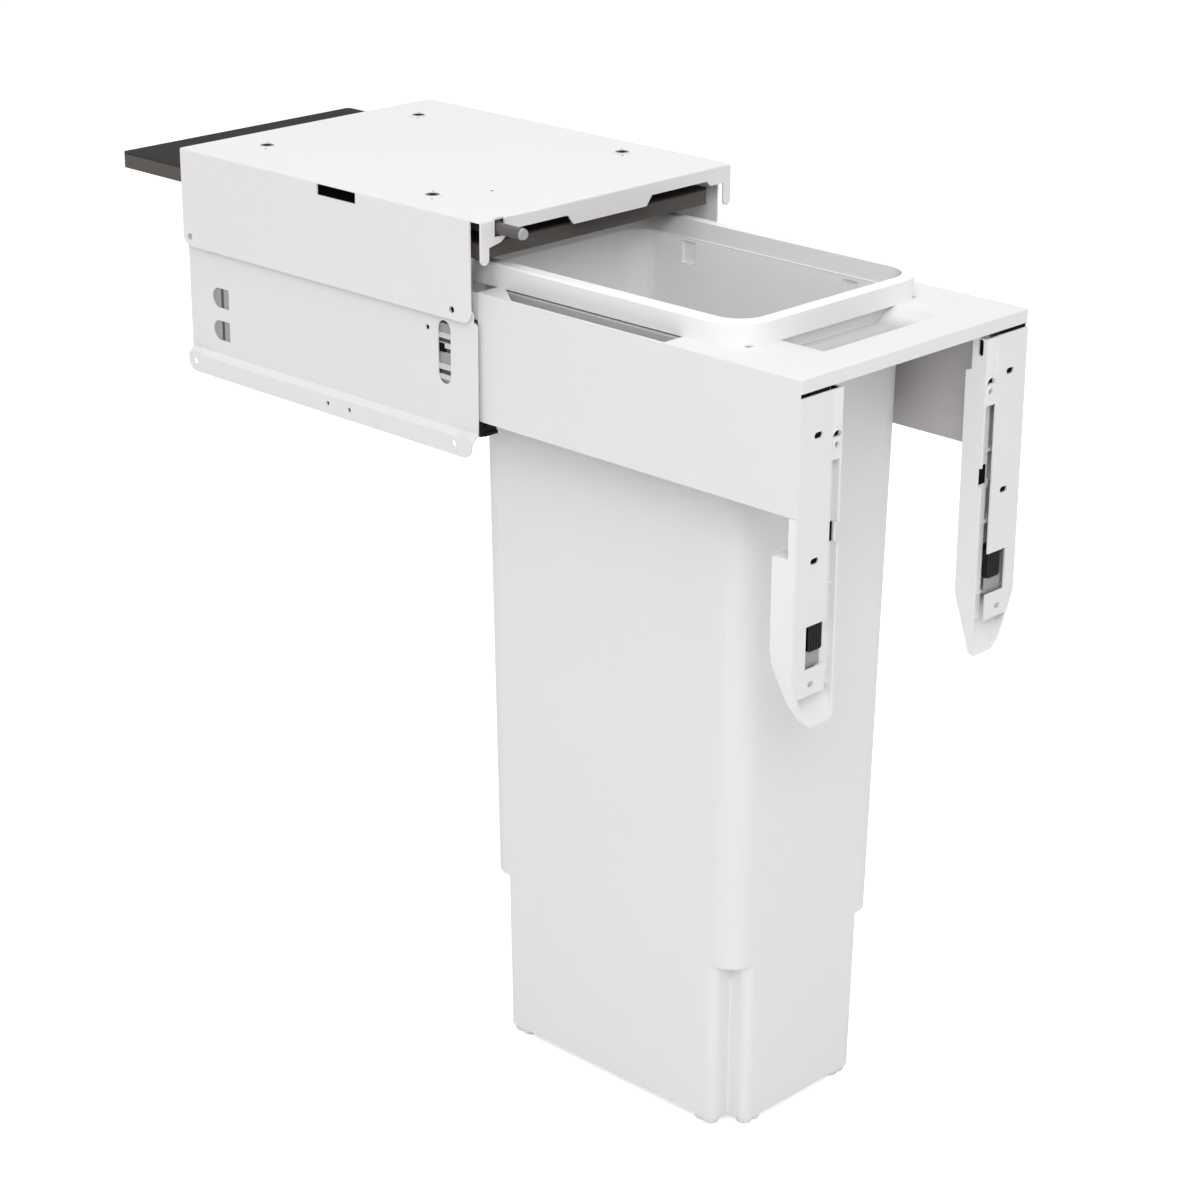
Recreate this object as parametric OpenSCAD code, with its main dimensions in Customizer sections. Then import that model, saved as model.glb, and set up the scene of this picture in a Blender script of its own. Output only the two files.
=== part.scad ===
// Pull-out waste cabinet insert, stored with its tray drawn out.
// A folded steel frame hangs under the cabinet's top rail. A pressed steel tray with a tall
// tapered bucket runs out of it on telescopic ball runners, under a floating lid.
// The front faces -Y, right is +X and up is +Z. The origin lies midway between the two
// front fixing holes of the frame, level with the tops of their bosses.
// Right-hand pieces are drawn and left-hand ones are their mirror images.

/* [Cabinet frame] */
// Overall width, the clear width of a 300 mm cabinet
frame_width = 264; // [260:1:300]
// Depth of the roof and the side flanges behind the flange fronts
frame_depth = 325; // [315:1:360]
// Thickness of the folded frame sheet
frame_sheet = 1.5; // [1.2:0.1:2]
// Height of the side flanges below the roof
flange_height = 77; // [74:1:82]
// Radius of the lower corners of the flanges
flange_corner_radius = 8; // [4:1:12]
// Distance from the flange fronts to the front face of the folded lip
lip_reach = 12; // [9:1:16]
// Depth of the lip in its middle stretch
lip_middle_drop = 17.5; // [15:0.5:20]
// Depth of the lip over the two relieved stretches
lip_relief_drop = 10; // [8:0.5:13]
// Depth of the lip next to its ears
lip_end_drop = 14; // [13.5:0.5:17]
// Half width of the middle stretch of the lip, at its lower edge
lip_middle_half = 38.5; // [30:0.5:50]
// Distance of each relief's outer end in from the flange face
lip_relief_inset = 26.5; // [25:0.5:37]
// Sideways run of the slanted steps in the lip
lip_step_run = 6; // [3:0.5:9]
// Width of the ears at the lip's ends
ear_width = 8; // [6:0.5:10]
// Depth of the ears
ear_drop = 32; // [26:1:40]

/* [Frame fixings] */
// Distance from the flange fronts back to the front fixing holes
front_fixing_setback = 72; // [60:1:90]
// Distance of the front fixing holes in from the flange faces
front_fixing_inset = 32; // [27:1:42]
// Distance of the rear fixing holes in front of the roof's rear edge
rear_fixing_margin = 43; // [25:1:65]
// Distance of the rear fixing holes in from the flange faces
rear_fixing_inset = 52; // [37:1:62]
// Diameter of the fixing holes in the roof
fixing_hole_dia = 5.5; // [4:0.5:7]
// Diameter of the raised boss round each roof hole
fixing_boss_dia = 15; // [11:1:20]
// Height of the boss above the roof
fixing_boss_height = 0.6; // [0.3:0.1:1]
// Diameter of the side fixing holes
side_hole_dia = 5; // [4:0.5:6]
// Distance from the flange fronts back to the front side holes
side_hole_setback = 19; // [14:1:24]
// Distance of the rear side holes in front of the flanges' rear edge
side_hole_margin = 8; // [7:0.5:26]
// Distance of the flange holes below the roof
flange_hole_drop = 69.5; // [66:0.5:71]
// Distance of the lower holes below the roof
foot_hole_drop = 170.5; // [168:0.5:173]
// Diameter of the two small locating holes in the panel foot
locating_hole_dia = 3.5; // [3:0.5:5]
// Distance from the flange fronts back to the first locating hole
locating_hole_setback = 133.5; // [120:0.5:140]
// Spacing of the locating holes
locating_hole_spacing = 24.5; // [15:0.5:40]

/* [Side panels] */
// Distance of the panel face inboard of the flange face
panel_inset = 4.6; // [4:0.1:5]
// Thickness of the panel sheet
panel_sheet = 1.3; // [1:0.1:1.5]
// Distance of the panel's top edge below the roof
panel_top_drop = 57; // [54:1:60]
// Height of the strip that lies against the flange
panel_strip_height = 10; // [8:1:12]
// Depth of the flat panel below the roof
panel_drop = 160; // [158:1:164]
// Depth of the joggled panel foot below the roof
foot_drop = 179; // [177:1:186]
// Radius of the foot's lower corners
foot_corner_radius = 9; // [4:1:11]
// Distance the panel stands in front of the flanges
panel_lead = 2; // [0:0.5:4]
// Radius of the panel's front corner below the flange
panel_lead_radius = 4; // [2:0.5:6]
// Width of the upright inspection slot
inspection_slot_width = 13.5; // [10:0.5:16]
// Height of the upright inspection slot
inspection_slot_height = 48; // [36:1:52]
// Width of the two D-shaped windows
window_width = 20; // [14:1:24]
// Height of the two D-shaped windows
window_height = 16; // [12:1:18]

/* [Runners] */
// Distance of the rails' rear ends in front of the roof's rear edge
rail_margin = 23; // [17:1:33]
// Difference between a rail's length and the tray's travel
travel_stop = 9.5; // [6:0.5:12]
// Overall height of the fixed rail
rail_height = 45.6; // [44:0.2:47]
// Thickness of a runner across all three rails
rail_depth = 12.7; // [12.7:0.1:13.2]
// Thickness of the rail webs
rail_web = 1.2; // [1:0.1:1.3]
// Thickness of the fixed and tray rails' track flanges
track_sheet = 1.6; // [1.4:0.1:1.8]
// Thickness of the middle rail's track flanges
middle_track_sheet = 2; // [1.8:0.1:2.2]
// Diameter of the runner balls
ball_dia = 4; // [3.8:0.1:4.2]
// Gap between facing track flanges
track_gap = 3.1; // [3:0.1:3.4]
// Thickness of the ball cages
cage_sheet = 0.5; // [0.4:0.1:0.6]
// Length of each ball cage
cage_length = 120; // [110:2:130]
// Balls in each row of a cage
balls_per_row = 6; // [4:1:6]
// Pitch of the balls along a row
ball_pitch = 20; // [14:1:21]
// Distance of the runner's centre line below the roof
rail_centre_drop = 105; // [103:1:108]
// Thickness of the bracket that carries each fixed rail
bracket_sheet = 1.5; // [1.2:0.1:2]
// Distance of the brackets' rear ends in front of the roof's rear edge
bracket_margin = 2; // [1:1:20]

/* [Tray] */
// Gap between each tray skin and the panel beside it
tray_side_gap = 3.1; // [2.6:0.1:4.1]
// Depth of the tray's tail behind the flange fronts when it is out
tray_tail = 1.5; // [0:0.5:4]
// Distance from the roof down to the tray's top
tray_top_drop = 55; // [53:1:58]
// Height of the tray's side skins
skin_height = 96.5; // [94:0.5:98]
// Thickness of the tray sheet
tray_sheet = 1.2; // [1:0.1:1.5]
// Height of the folded strip at the tray's front
front_strip_height = 10.5; // [8:0.5:12]
// Depth of the finger recess in front of the bucket
recess_depth = 9.5; // [5:0.5:10]
// Half width of the recess at the tray's top
recess_half_width = 64; // [56:1:70]
// Sideways run of the ramps at the recess's ends
recess_ramp_run = 22; // [12:1:30]
// Run of the recess's front wall
recess_front_run = 4; // [3:1:14]
// Distance of the recess's front edge behind the tray's front
recess_setback = 32; // [26:1:38]
// Distance from the tray's tail forward to the side reliefs
relief_tail = 33; // [25:1:45]
// Length of the side reliefs along the skins
relief_length = 147.5; // [120:0.5:160]
// Slant of each relief's rear end
relief_slant = 42; // [10:1:46]
// Depth of the covers that hide the runners, below the roof
cover_drop = 158.5; // [150:0.5:162]

/* [Bucket] */
// Gap between the bucket's rim and each edge of the tray
rim_side_gap = 20; // [18:0.5:23]
// Distance the rim runs out behind the tray's tail
rim_overrun = 47; // [40:1:50]
// Height of the rim band
rim_height = 17; // [14:0.5:18]
// Width of the rim's flat top and side band
rim_band = 10.5; // [8:0.5:12]
// Corner radius of the rim
rim_radius = 32; // [24:1:40]
// Distance of the rim's front behind the tray's front
rim_setback = 71; // [68:1:80]
// Height of the bucket under the rim, down to its flat base
body_height = 614; // [540:1:620]
// Overhang of the rim beyond the body at each side
rim_overhang = 14.5; // [13:0.5:17]
// Overhang of the rim beyond the body at each end
rim_end_overhang = 6; // [5:0.5:10]
// Narrowing of the body at each side, from the rim to the base
body_side_taper = 8.25; // [5:0.25:13]
// Narrowing of the body at each end, from the rim to the base
body_end_taper = 7; // [4:0.5:10]
// Corner radius of the body
body_radius = 21; // [16:1:26]
// Thickness of the bucket walls
bucket_wall = 2.4; // [1.8:0.1:3.2]
// Height of the stepped corners above the base
corner_step_height = 132; // [100:1:160]
// Size of the square step cut from each corner
corner_step = 18; // [16:1:22]
// Radius of the ridges beside the corner steps
ridge_radius = 8; // [5:0.5:9]
// Height of the feet below the base
foot_height = 5.5; // [3:0.5:8]

/* [Door brackets] */
// Width of each face plate
plate_width = 33; // [30:1:36]
// Distance of the face plates' tops below the roof
plate_top_drop = 68.2; // [67:0.2:72]
// Height of the face plates
plate_height = 214; // [208:0.5:222]
// Thickness of the bracket steel
plate_sheet = 1.5; // [1.2:0.1:2]
// Distance of the door holes in from the plates' outer edges
door_hole_inset = 18.6; // [14:0.2:20]
// Distance of the upper door holes below the roof
door_hole_drop = 96.5; // [92:0.5:104]
// Spacing of the two door holes
door_hole_spacing = 88.5; // [80:0.5:96]
// Length of the slotted door holes, side to side
door_slot_length = 8.5; // [7:0.5:9]
// Height of the slotted door holes
door_slot_height = 4.5; // [4:0.5:5]
// Depth of the window in from each face plate's inner edge
plate_window_depth = 21; // [19:0.5:23]
// Height of the window in each face plate
plate_window_height = 31.5; // [28:0.5:34]
// Distance of the window's top below the roof
plate_window_drop = 231; // [226:0.5:234]
// Depth of the moulded arm behind the face plates
arm_depth = 19; // [16:0.5:22]
// Flare of the arm's outer flank towards the back, below the runner
arm_flare = 3; // [1:0.5:3.5]
// Depth of the arm's outer half beside the runner
arm_shallow_depth = 7; // [5:0.5:7]
// Distance of the arm's inner wall inboard of the face plate
arm_overlap = 12; // [8:0.5:13]
// Wall thickness of the arm
arm_wall = 2; // [1.6:0.1:2.4]
// Distance of the arm's tip below the roof
arm_tip_drop = 308; // [305:1:316]
// Number of cross ribs in the arm's trough
arm_ribs = 3; // [2:1:3]

/* [Lid] */
// Gap between the lid and each flange
lid_side_gap = 10; // [8:0.5:12]
// Distance the lid runs out behind the roof
lid_overhang = 89; // [78:1:92]
// Height of the lid's skirt
lid_height = 12.5; // [11:0.5:13.5]
// Wall thickness of the lid
lid_wall = 2.5; // [2:0.1:3]
// Distance from the roof down to the lid
lid_drop = 19.2; // [18.4:0.2:19.4]
// Corner radius of the lid
lid_radius = 4; // [4:1:12]
// Diameter of the lid's guide pins
guide_dia = 6; // [5:0.2:7]
// Distance of the guide pins in from the lid's sides
guide_inset = 60.5; // [45:0.5:70]
// Distance from the flange fronts back to the front guide pins
guide_setback = 51; // [40:1:60]
// Distance of the rear guide pins in front of the roof's rear edge
guide_margin = 63; // [45:1:80]
// Turns of each lid spring
spring_turns = 3; // [2:1:4]
// Wire diameter of the lid springs
spring_wire = 1; // [0.8:0.1:1.1]

/* [Door damper] */
// Diameter of the damper's plunger
plunger_dia = 8.6; // [7:0.2:8.8]
// Outer diameter of the damper's sleeve
sleeve_dia = 12; // [11.4:0.1:12]
// Length of the damper's sleeve
sleeve_length = 80; // [72:1:90]
// Distance the plunger stands out of the lip
plunger_reach = 25; // [20:1:28]
// Distance of the damper's axis in from the flange face
damper_inset = 18.5; // [18:0.1:19]
// Distance of the damper's axis below the roof
damper_drop = 7.6; // [7.5:0.1:7.8]

/* [Hidden] */

$fn = 48;
// Smoothness of the bucket's blended corners
blend_fn = 44;
// Smoothness of the runner balls
ball_fn = 24;
// Slices in each turn of a spring, and sides of its wire
spring_slices = 14;
spring_fn = 5;
// Overrun that carries a cut past the faces it leaves
cut = 1;
// Thickness of the slices that a blended shape is drawn between
slice = 0.01;
// Gap left between pieces that rest on or slide past each other
rest_gap = 0.3;
// Radial clearance of a pin, rod or ball that runs in its seat
running_gap = 0.05;

// Sides
left = -1;
right = 1;

// Frame places
half_width = frame_width / 2;
front_y = -front_fixing_setback;
back_y = front_y + frame_depth;
lip_y = front_y - lip_reach;
roof_top = -fixing_boss_height;
roof_under = roof_top - frame_sheet;
front_fixing_x = half_width - front_fixing_inset;
rear_fixing_x = half_width - rear_fixing_inset;
rear_fixing_y = back_y - rear_fixing_margin;
side_hole_spacing = frame_depth - side_hole_setback - side_hole_margin;
flange_face = half_width - frame_sheet;
panel_face = half_width - panel_inset;
panel_inner = panel_face - panel_sheet;
lip_relief_end = half_width - lip_relief_inset;
flange_slot_width = 43;
flange_slot_height = 8.5;
flange_slot_setback = 121;
damper_offset = half_width - damper_inset;
hook_notch_width = 10;
hook_notch_drop = 13.2;
hook_span = 6;
hook_reach = damper_offset - hook_span;
hook_drop = 20;
hook_heel_span = 1.5;
hook_heel = damper_offset - hook_heel_span;
hook_heel_drop = 17.5;

// Side panel places
panel_front = front_y - panel_lead;
panel_strip_top = roof_top - panel_top_drop;
panel_strip_end = panel_strip_top - panel_strip_height;
panel_joggle = 4;
panel_bottom = roof_top - panel_drop;
foot_joggle = 5.5;
foot_top = panel_bottom - foot_joggle;
foot_bottom = roof_top - foot_drop;
inspection_slot_setback = 32.3;
inspection_slot_drop = 105;
sight_hole_dia = 4;
sight_hole_setback = 50;
sight_hole_drop = 89.5;
driver_hole_dia = 9;
window_margin = 37;
window_y = back_y - window_margin;
window_drop = 114.5;
window_pitch = 26.3;

// Runner places
rail_z = roof_top - rail_centre_drop;
rail_setback = 2;
rail_front_y = front_y + rail_setback;
rail_back_y = back_y - rail_margin;
rail_length = rail_back_y - rail_front_y;
skin_outer = panel_inner - tray_side_gap;
skin_inner = skin_outer - tray_sheet;
bracket_face = skin_inner - rail_depth;
bracket_inner = bracket_face - bracket_sheet;
bracket_rise = 1;
bracket_top = rail_z + rail_height / 2 + bracket_rise;
skin_bottom = roof_top - tray_top_drop - skin_height;
shelf_gap = 2.4;
bracket_shelf = skin_bottom - shelf_gap;
bracket_leg = 5;
fixed_track = rail_height / 2 - track_sheet;
middle_outer = fixed_track - track_gap;
middle_inner = middle_outer - middle_track_sheet;
tray_track = middle_inner - track_gap;
outer_ball_z = (fixed_track + middle_outer) / 2;
inner_ball_z = (middle_inner + tray_track) / 2;
member_gap = 0.8;
middle_web_x = bracket_face + rail_web + member_gap;
tray_web_x = skin_inner - rail_web;
fixed_lip_reach = 7.6;
fixed_lip_x = middle_web_x + fixed_lip_reach;
middle_lip_gap = 0.9;
middle_lip_x = tray_web_x - middle_lip_gap;
outer_ball_inset = 3.2;
outer_ball_x = middle_web_x + outer_ball_inset;
ball_stagger = 2.6;
inner_ball_x = outer_ball_x + ball_stagger;
tray_track_reach = 2.8;
tray_track_x = inner_ball_x - tray_track_reach;
rail_lip = 1;
outer_cage_x = bracket_face + rail_web + (member_gap - cage_sheet) / 2;
inner_cage_x = middle_web_x + rail_web + (tray_track_x - middle_web_x - rail_web - cage_sheet) / 2;
cap_length = 5;
cap_drop = 2;
cap_height = 10;
cap_radius = 1.5;
cap_fin_reach = 1.2;
cap_fin_height = 2.4;
cap_fin_pitch = 6.2;
cap_fin_inset = 4;
cap_front = rail_front_y - cap_length;
cap_low = bracket_shelf - bracket_sheet - bracket_leg - cap_drop;

// Travel of the tray and the pieces that follow it
tray_travel = rail_length - travel_stop;
tray_reach = lip_reach + tray_travel;
middle_shift = tray_travel / 2;
outer_cage_centre = rail_front_y + (rail_length - middle_shift) / 2;
inner_cage_centre = outer_cage_centre - middle_shift;

// Bucket places
tray_front = front_y - tray_reach;
tray_back = front_y + tray_tail;
tray_top = roof_top - tray_top_drop;
rim_front = tray_front + rim_setback;
rim_back = tray_back + rim_overrun;
rim_length = rim_back - rim_front;
rim_width = 2 * (skin_outer - rim_side_gap);
bucket_y = (rim_front + rim_back) / 2;
rim_bottom = tray_top;
rim_top = rim_bottom + rim_height;
base_z = rim_bottom - body_height;
step_z = base_z + corner_step_height;
body_top_width = rim_width - 2 * rim_overhang;
body_top_length = rim_length - 2 * rim_end_overhang;
body_base_width = body_top_width - 2 * body_side_taper;
body_base_length = body_top_length - 2 * body_end_taper;
step_share = corner_step_height / body_height;
step_width = body_base_width + (body_top_width - body_base_width) * step_share;
step_length = body_base_length + (body_top_length - body_base_length) * step_share;
rim_lead = 1.5;
ledge_drop = 12;
ledge_width = 0.8;
pocket_width = 14;
pocket_height = 17;
pocket_drop = 15;
pocket_depth = 1.6;
pocket_spacing = 158;
groove_radius = 1.6;
foot_bevel = 2.5;

// Tray places
opening_clearance = 2.5;
opening_half = body_top_width / 2 + opening_clearance;
opening_front = bucket_y - body_top_length / 2 - opening_clearance;
relief_back = tray_back - relief_tail;
relief_front = relief_back - relief_length;
strip_bottom = tray_top - front_strip_height;
cover_gap = 2.2;
cover_face = bracket_inner - cover_gap;
cover_bottom = roof_top - cover_drop;

// Rear yoke places
yoke_gap = 8;
yoke_back = rim_back + yoke_gap;
yoke_height = 20;
yoke_overlap = 40;
yoke_radius = 10;

// Door bracket places
plate_top = roof_top - plate_top_drop;
plate_bottom = plate_top - plate_height;
plate_lead = 0.5;
plate_front = tray_front - plate_lead;
plate_back = plate_front + plate_sheet;
plate_outer = skin_outer;
plate_inner = plate_outer - plate_width;
plate_corner_width = 6.5;
plate_corner_height = 16;
door_hole_x = plate_outer - door_hole_inset;
door_hole_z = roof_top - door_hole_drop;
window_top = roof_top - plate_window_drop;
window_bottom = window_top - plate_window_height;
side_web_depth = 11;
side_web_lift = 4;
side_web_radius = 4;

// Bracket arm places
arm_outer = skin_inner - plate_sheet - rest_gap;
arm_flank = plate_outer;
arm_inner = plate_inner - arm_overlap;
arm_front = plate_back;
arm_back = plate_front + arm_depth;
arm_shallow_back = plate_front + arm_shallow_depth;
arm_split_x = bracket_inner - 2 * rest_gap;
arm_shoulder = skin_bottom - rest_gap;
arm_shallow_rise = 29;
arm_shallow_end = skin_bottom - arm_shallow_rise;
arm_gap = 1;
arm_top = plate_top - arm_gap;
arm_wall_drop = 94.5;
arm_wall_rise = 6.5;
arm_tip = roof_top - arm_tip_drop;
arm_flank_drop = 261;
arm_elbow_drop = 287;
arm_elbow_run = 6;
arm_flare_rise = arm_flare * (arm_elbow_drop - arm_flank_drop) / arm_elbow_run;
arm_toe_drop = 302;
arm_toe_run = 14;
arm_tip_run = 21;
arm_heel_gap = 11;
arm_heel_run = 3;
arm_rib_drop = 155;
arm_rib_pitch = 54;
arm_rib_setback = 4;
arm_floor_setback = 5;
arm_floor_overlap = 2;
arm_tab_depth = 12.5;
arm_slot_setback = 5.5;
arm_slot_width = 4.5;
arm_slot_height = 12.5;
arm_slot_drop = 76;
hook_plate_end_drop = 118.5;
hook_plate_radius = 3.5;
hook_hole_drop = 108;
hook_hole_dia = 4.5;
half_moon_dia = 9.5;
half_moon_drop = 102.5;
catch_slot_drop = 164;
catch_slot_height = 14;
catch_slot_depth = 3;
screw_shank_dia = 4;
screw_recess = 0.8;
screw_length = 8;
screw_boss_dia = 9;
tab_screw_drop = 274;
tab_slot_length = 6.4;
adjuster_depth = 12;
adjuster_height = 22;
adjuster_inset = 2.5;
adjuster_width = 14;
adjuster_cover = 2;
adjuster_radius = 2;
adjuster_top = window_top + adjuster_cover;
adjuster_bottom = adjuster_top - adjuster_height;
arm_heel = adjuster_bottom - arm_heel_gap;
adjuster_groove = 0.6;
adjuster_grooves = 4;

// Lid places
lid_width = 2 * (flange_face - lid_side_gap);
lid_depth = frame_depth + lid_overhang;
lid_top = roof_top - lid_drop;
lid_bottom = lid_top - lid_height;
lid_front = front_y;
lid_back = lid_front + lid_depth;
guide_x = lid_width / 2 - guide_inset;
guide_pitch = frame_depth - guide_setback - guide_margin;
guide_shoulder_dia = 12;
collar_height = 6;
collar_dia = 12;
spring_seat_gap = 0.4;
guide_head_height = 1.5;
spring_length = 11;
guide_head_top = lid_top - lid_wall - spring_length - 2 * spring_seat_gap;
spring_radius = 4.6;
lid_rib_height = 4;
lid_rib_wall = 1.6;
lid_rib_count = 4;

// Damper places
damper_z = roof_top - damper_drop;
plunger_front = lip_y - plunger_reach;
tip_length = 2;
tip_taper = 1;
sleeve_front = lip_y + frame_sheet + rest_gap;
plunger_seat = 40;
plunger_back = sleeve_front + plunger_seat;
sleeve_wall_end = 4;
clip_sheet = 1.2;
clip_width = 14;
clip_setback = 30;
clip_tab = 6;

// Shared drawing helpers

// Draws its children for one side of the object
module on_side(side) {
    if (side == left) mirror([1, 0, 0]) children();
    else children();
}

// Draws its children on both sides
module on_both_sides() {
    children();
    mirror([1, 0, 0]) children();
}

// Extrudes an outline drawn in X and Z from y0 back to y1
module along_y(y0, y1) {
    translate([0, y1, 0]) rotate([90, 0, 0]) linear_extrude(height = y1 - y0) children();
}

// Extrudes an outline drawn in Y and Z from x0 out to x1
module along_x(x0, x1) {
    translate([x0, 0, 0]) rotate([90, 0, 90]) linear_extrude(height = x1 - x0) children();
}

// Extrudes an outline drawn in X and Y from z0 up to z1
module along_z(z0, z1) {
    translate([0, 0, z0]) linear_extrude(height = z1 - z0) children();
}

// Rectangle between two corners
module rectangle(low, high) {
    translate(low) square([high[0] - low[0], high[1] - low[1]]);
}

// Rectangle whose corners are rounded, made of true arcs
module rounded_rectangle(low, high, radius) {
    rectangle([low[0] + radius, low[1]], [high[0] - radius, high[1]]);
    rectangle([low[0], low[1] + radius], [high[0], high[1] - radius]);
    for (x = [low[0] + radius, high[0] - radius])
        for (y = [low[1] + radius, high[1] - radius])
            translate([x, y]) circle(radius);
}

// Rectangle of which only the two lower corners are rounded
module round_bottomed(low, high, radius) {
    rectangle([low[0] + radius, low[1]], [high[0] - radius, high[1]]);
    rectangle([low[0], low[1] + radius], high);
    for (x = [low[0] + radius, high[0] - radius])
        translate([x, low[1] + radius]) circle(radius);
}

// Slot with round ends that runs upwards in its outline
module upright_slot(centre, width, height) {
    rounded_rectangle(
        [centre[0] - width / 2, centre[1] - height / 2],
        [centre[0] + width / 2, centre[1] + height / 2],
        width / 2 - slice
    );
}

// Slot with round ends that runs sideways in its outline
module flat_slot(centre, length, height) {
    rounded_rectangle(
        [centre[0] - length / 2, centre[1] - height / 2],
        [centre[0] + length / 2, centre[1] + height / 2],
        height / 2 - slice
    );
}

// Rectangle in the plan, centred on the bucket, with blended corners
module plan_outline(width, length, radius) {
    for (side = [left, right])
        for (end = [left, right])
            translate([side * (width / 2 - radius), end * (length / 2 - radius)])
                circle(radius, $fn = blend_fn);
}

// Sub-parts of the frame

module top_frame() {
    color("whitesmoke") difference() {
        union() {
            along_z(roof_under, roof_top) rectangle([-half_width, lip_y], [half_width, back_y]);
            on_both_sides() {
                frame_flange();
                roof_bosses();
            }
            along_y(lip_y, lip_y + frame_sheet) lip_outline();
        }
        on_both_sides() roof_holes();
        hook_notch();
    }
}

module frame_flange() {
    along_x(flange_face, half_width) difference() {
        round_bottomed([front_y, roof_top - flange_height], [back_y, roof_top], flange_corner_radius);
        for (y = [0, side_hole_spacing])
            translate([front_y + side_hole_setback + y, roof_top - flange_hole_drop])
                circle(side_hole_dia / 2);
        rectangle(
            [front_y + flange_slot_setback, roof_under - flange_slot_height],
            [front_y + flange_slot_setback + flange_slot_width, roof_under]
        );
    }
}

module roof_bosses() {
    for (place = [[front_fixing_x, 0], [rear_fixing_x, rear_fixing_y]])
        translate([place[0], place[1], roof_top]) cylinder(h = fixing_boss_height, d = fixing_boss_dia);
}

module roof_holes() {
    for (place = [[front_fixing_x, 0], [rear_fixing_x, rear_fixing_y]])
        translate([place[0], place[1], roof_under - cut])
            cylinder(h = frame_sheet + fixing_boss_height + 2 * cut, d = fixing_hole_dia);
}

// Front view of the lip, with its reliefs and ears, and the damper's hook at the left
module lip_outline() {
    ear_inner = half_width - ear_width;
    for (side = [left, right])
        mirror([side == left ? 1 : 0, 0]) {
            polygon([
                [0, roof_top],
                [0, roof_top - lip_middle_drop],
                [lip_middle_half, roof_top - lip_middle_drop],
                [lip_middle_half + lip_step_run, roof_top - lip_relief_drop],
                [lip_relief_end, roof_top - lip_relief_drop],
                [lip_relief_end + lip_end_drop - lip_relief_drop, roof_top - lip_end_drop],
                [ear_inner, roof_top - lip_end_drop],
                [ear_inner, roof_top]
            ]);
            round_bottomed([ear_inner, roof_top - ear_drop], [half_width, roof_top], ear_width / 2 - slice);
        }
    polygon([
        [-ear_inner, roof_top - lip_end_drop + cut],
        [-ear_inner, roof_top - hook_drop],
        [-hook_heel, roof_top - hook_heel_drop],
        [-hook_reach, roof_top - hook_notch_drop - cut],
        [-hook_reach, roof_top - hook_notch_drop],
        [-hook_heel, roof_top - hook_notch_drop]
    ]);
}

// Notch that lets the damper's plunger through the lip
module hook_notch() {
    along_y(lip_y - cut, lip_y + frame_sheet + cut) rectangle(
        [-damper_offset - hook_notch_width / 2, roof_top - hook_notch_drop],
        [-damper_offset + hook_notch_width / 2, roof_top + cut]
    );
}

module side_panel(side) {
    color("gainsboro") on_side(side) difference() {
        union() {
            along_y(panel_front, back_y) panel_section();
            along_x(half_width - panel_sheet, half_width) round_bottomed(
                [front_y, foot_bottom], [back_y, foot_top + panel_sheet], foot_corner_radius
            );
        }
        along_x(panel_inner - cut, half_width + cut) panel_cuts();
    }
}

// Section of the panel: a strip against the flange, a joggle, the flat and the slanted foot
module panel_section() {
    polygon([
        [flange_face, panel_strip_top],
        [flange_face, panel_strip_end],
        [panel_face, panel_strip_end - panel_joggle],
        [panel_face, panel_bottom],
        [half_width, foot_top],
        [half_width, foot_top - panel_sheet],
        [half_width - panel_sheet, foot_top - panel_sheet],
        [half_width - panel_sheet, foot_top + panel_sheet / 4],
        [panel_inner, panel_bottom - panel_sheet / 2],
        [panel_inner, panel_strip_end - panel_joggle],
        [flange_face - panel_sheet, panel_strip_end],
        [flange_face - panel_sheet, panel_strip_top]
    ]);
}

module panel_cuts() {
    corner_z = roof_top - flange_height - panel_lead_radius;
    difference() {
        rectangle([panel_front - cut, corner_z], [panel_front + panel_lead_radius, roof_top]);
        translate([panel_front + panel_lead_radius, corner_z]) circle(panel_lead_radius);
    }
    for (y = [0, side_hole_spacing])
        translate([front_y + side_hole_setback + y, 0]) {
            translate([0, roof_top - foot_hole_drop]) circle(side_hole_dia / 2);
            translate([0, roof_top - flange_hole_drop]) circle(driver_hole_dia / 2);
        }
    for (y = [0, locating_hole_spacing])
        translate([front_y + locating_hole_setback + y, roof_top - foot_hole_drop])
            circle(locating_hole_dia / 2);
    translate([front_y + sight_hole_setback, roof_top - sight_hole_drop]) circle(sight_hole_dia / 2);
    upright_slot(
        [front_y + inspection_slot_setback, roof_top - inspection_slot_drop],
        inspection_slot_width, inspection_slot_height
    );
    for (drop = [0, window_pitch])
        translate([window_y, roof_top - window_drop - drop]) window_outline();
}

// D-shaped window, rounded towards the rear
module window_outline() {
    round_start = window_width / 2 - window_height / 2;
    rectangle([-window_width / 2, -window_height / 2], [round_start, window_height / 2]);
    translate([round_start, 0]) circle(window_height / 2);
}

module runner_bracket(side) {
    color("lightgray") on_side(side) along_y(rail_front_y, back_y - bracket_margin) polygon([
        [panel_inner, bracket_shelf],
        [panel_inner, bracket_shelf - bracket_sheet - bracket_leg],
        [panel_inner - bracket_sheet, bracket_shelf - bracket_sheet - bracket_leg],
        [panel_inner - bracket_sheet, bracket_shelf - bracket_sheet],
        [bracket_inner, bracket_shelf - bracket_sheet],
        [bracket_inner, bracket_top],
        [bracket_face, bracket_top],
        [bracket_face, bracket_shelf]
    ]);
}

// Moulded cap on the front end of the runner bracket's shelf
module runner_cap(side) {
    color("black") on_side(side) union() {
        along_y(cap_front, rail_front_y)
            rounded_rectangle([bracket_face, cap_low], [panel_inner, cap_low + cap_height], cap_radius);
        for (z = [cap_low, cap_low + cap_fin_pitch])
            along_x(bracket_face, panel_inner - cap_fin_inset)
                rectangle([cap_front - cap_fin_reach, z], [cap_front + cut, z + cap_fin_height]);
    }
}

// Sections of the runner rails, drawn for the right side about the runner's centre line

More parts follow.
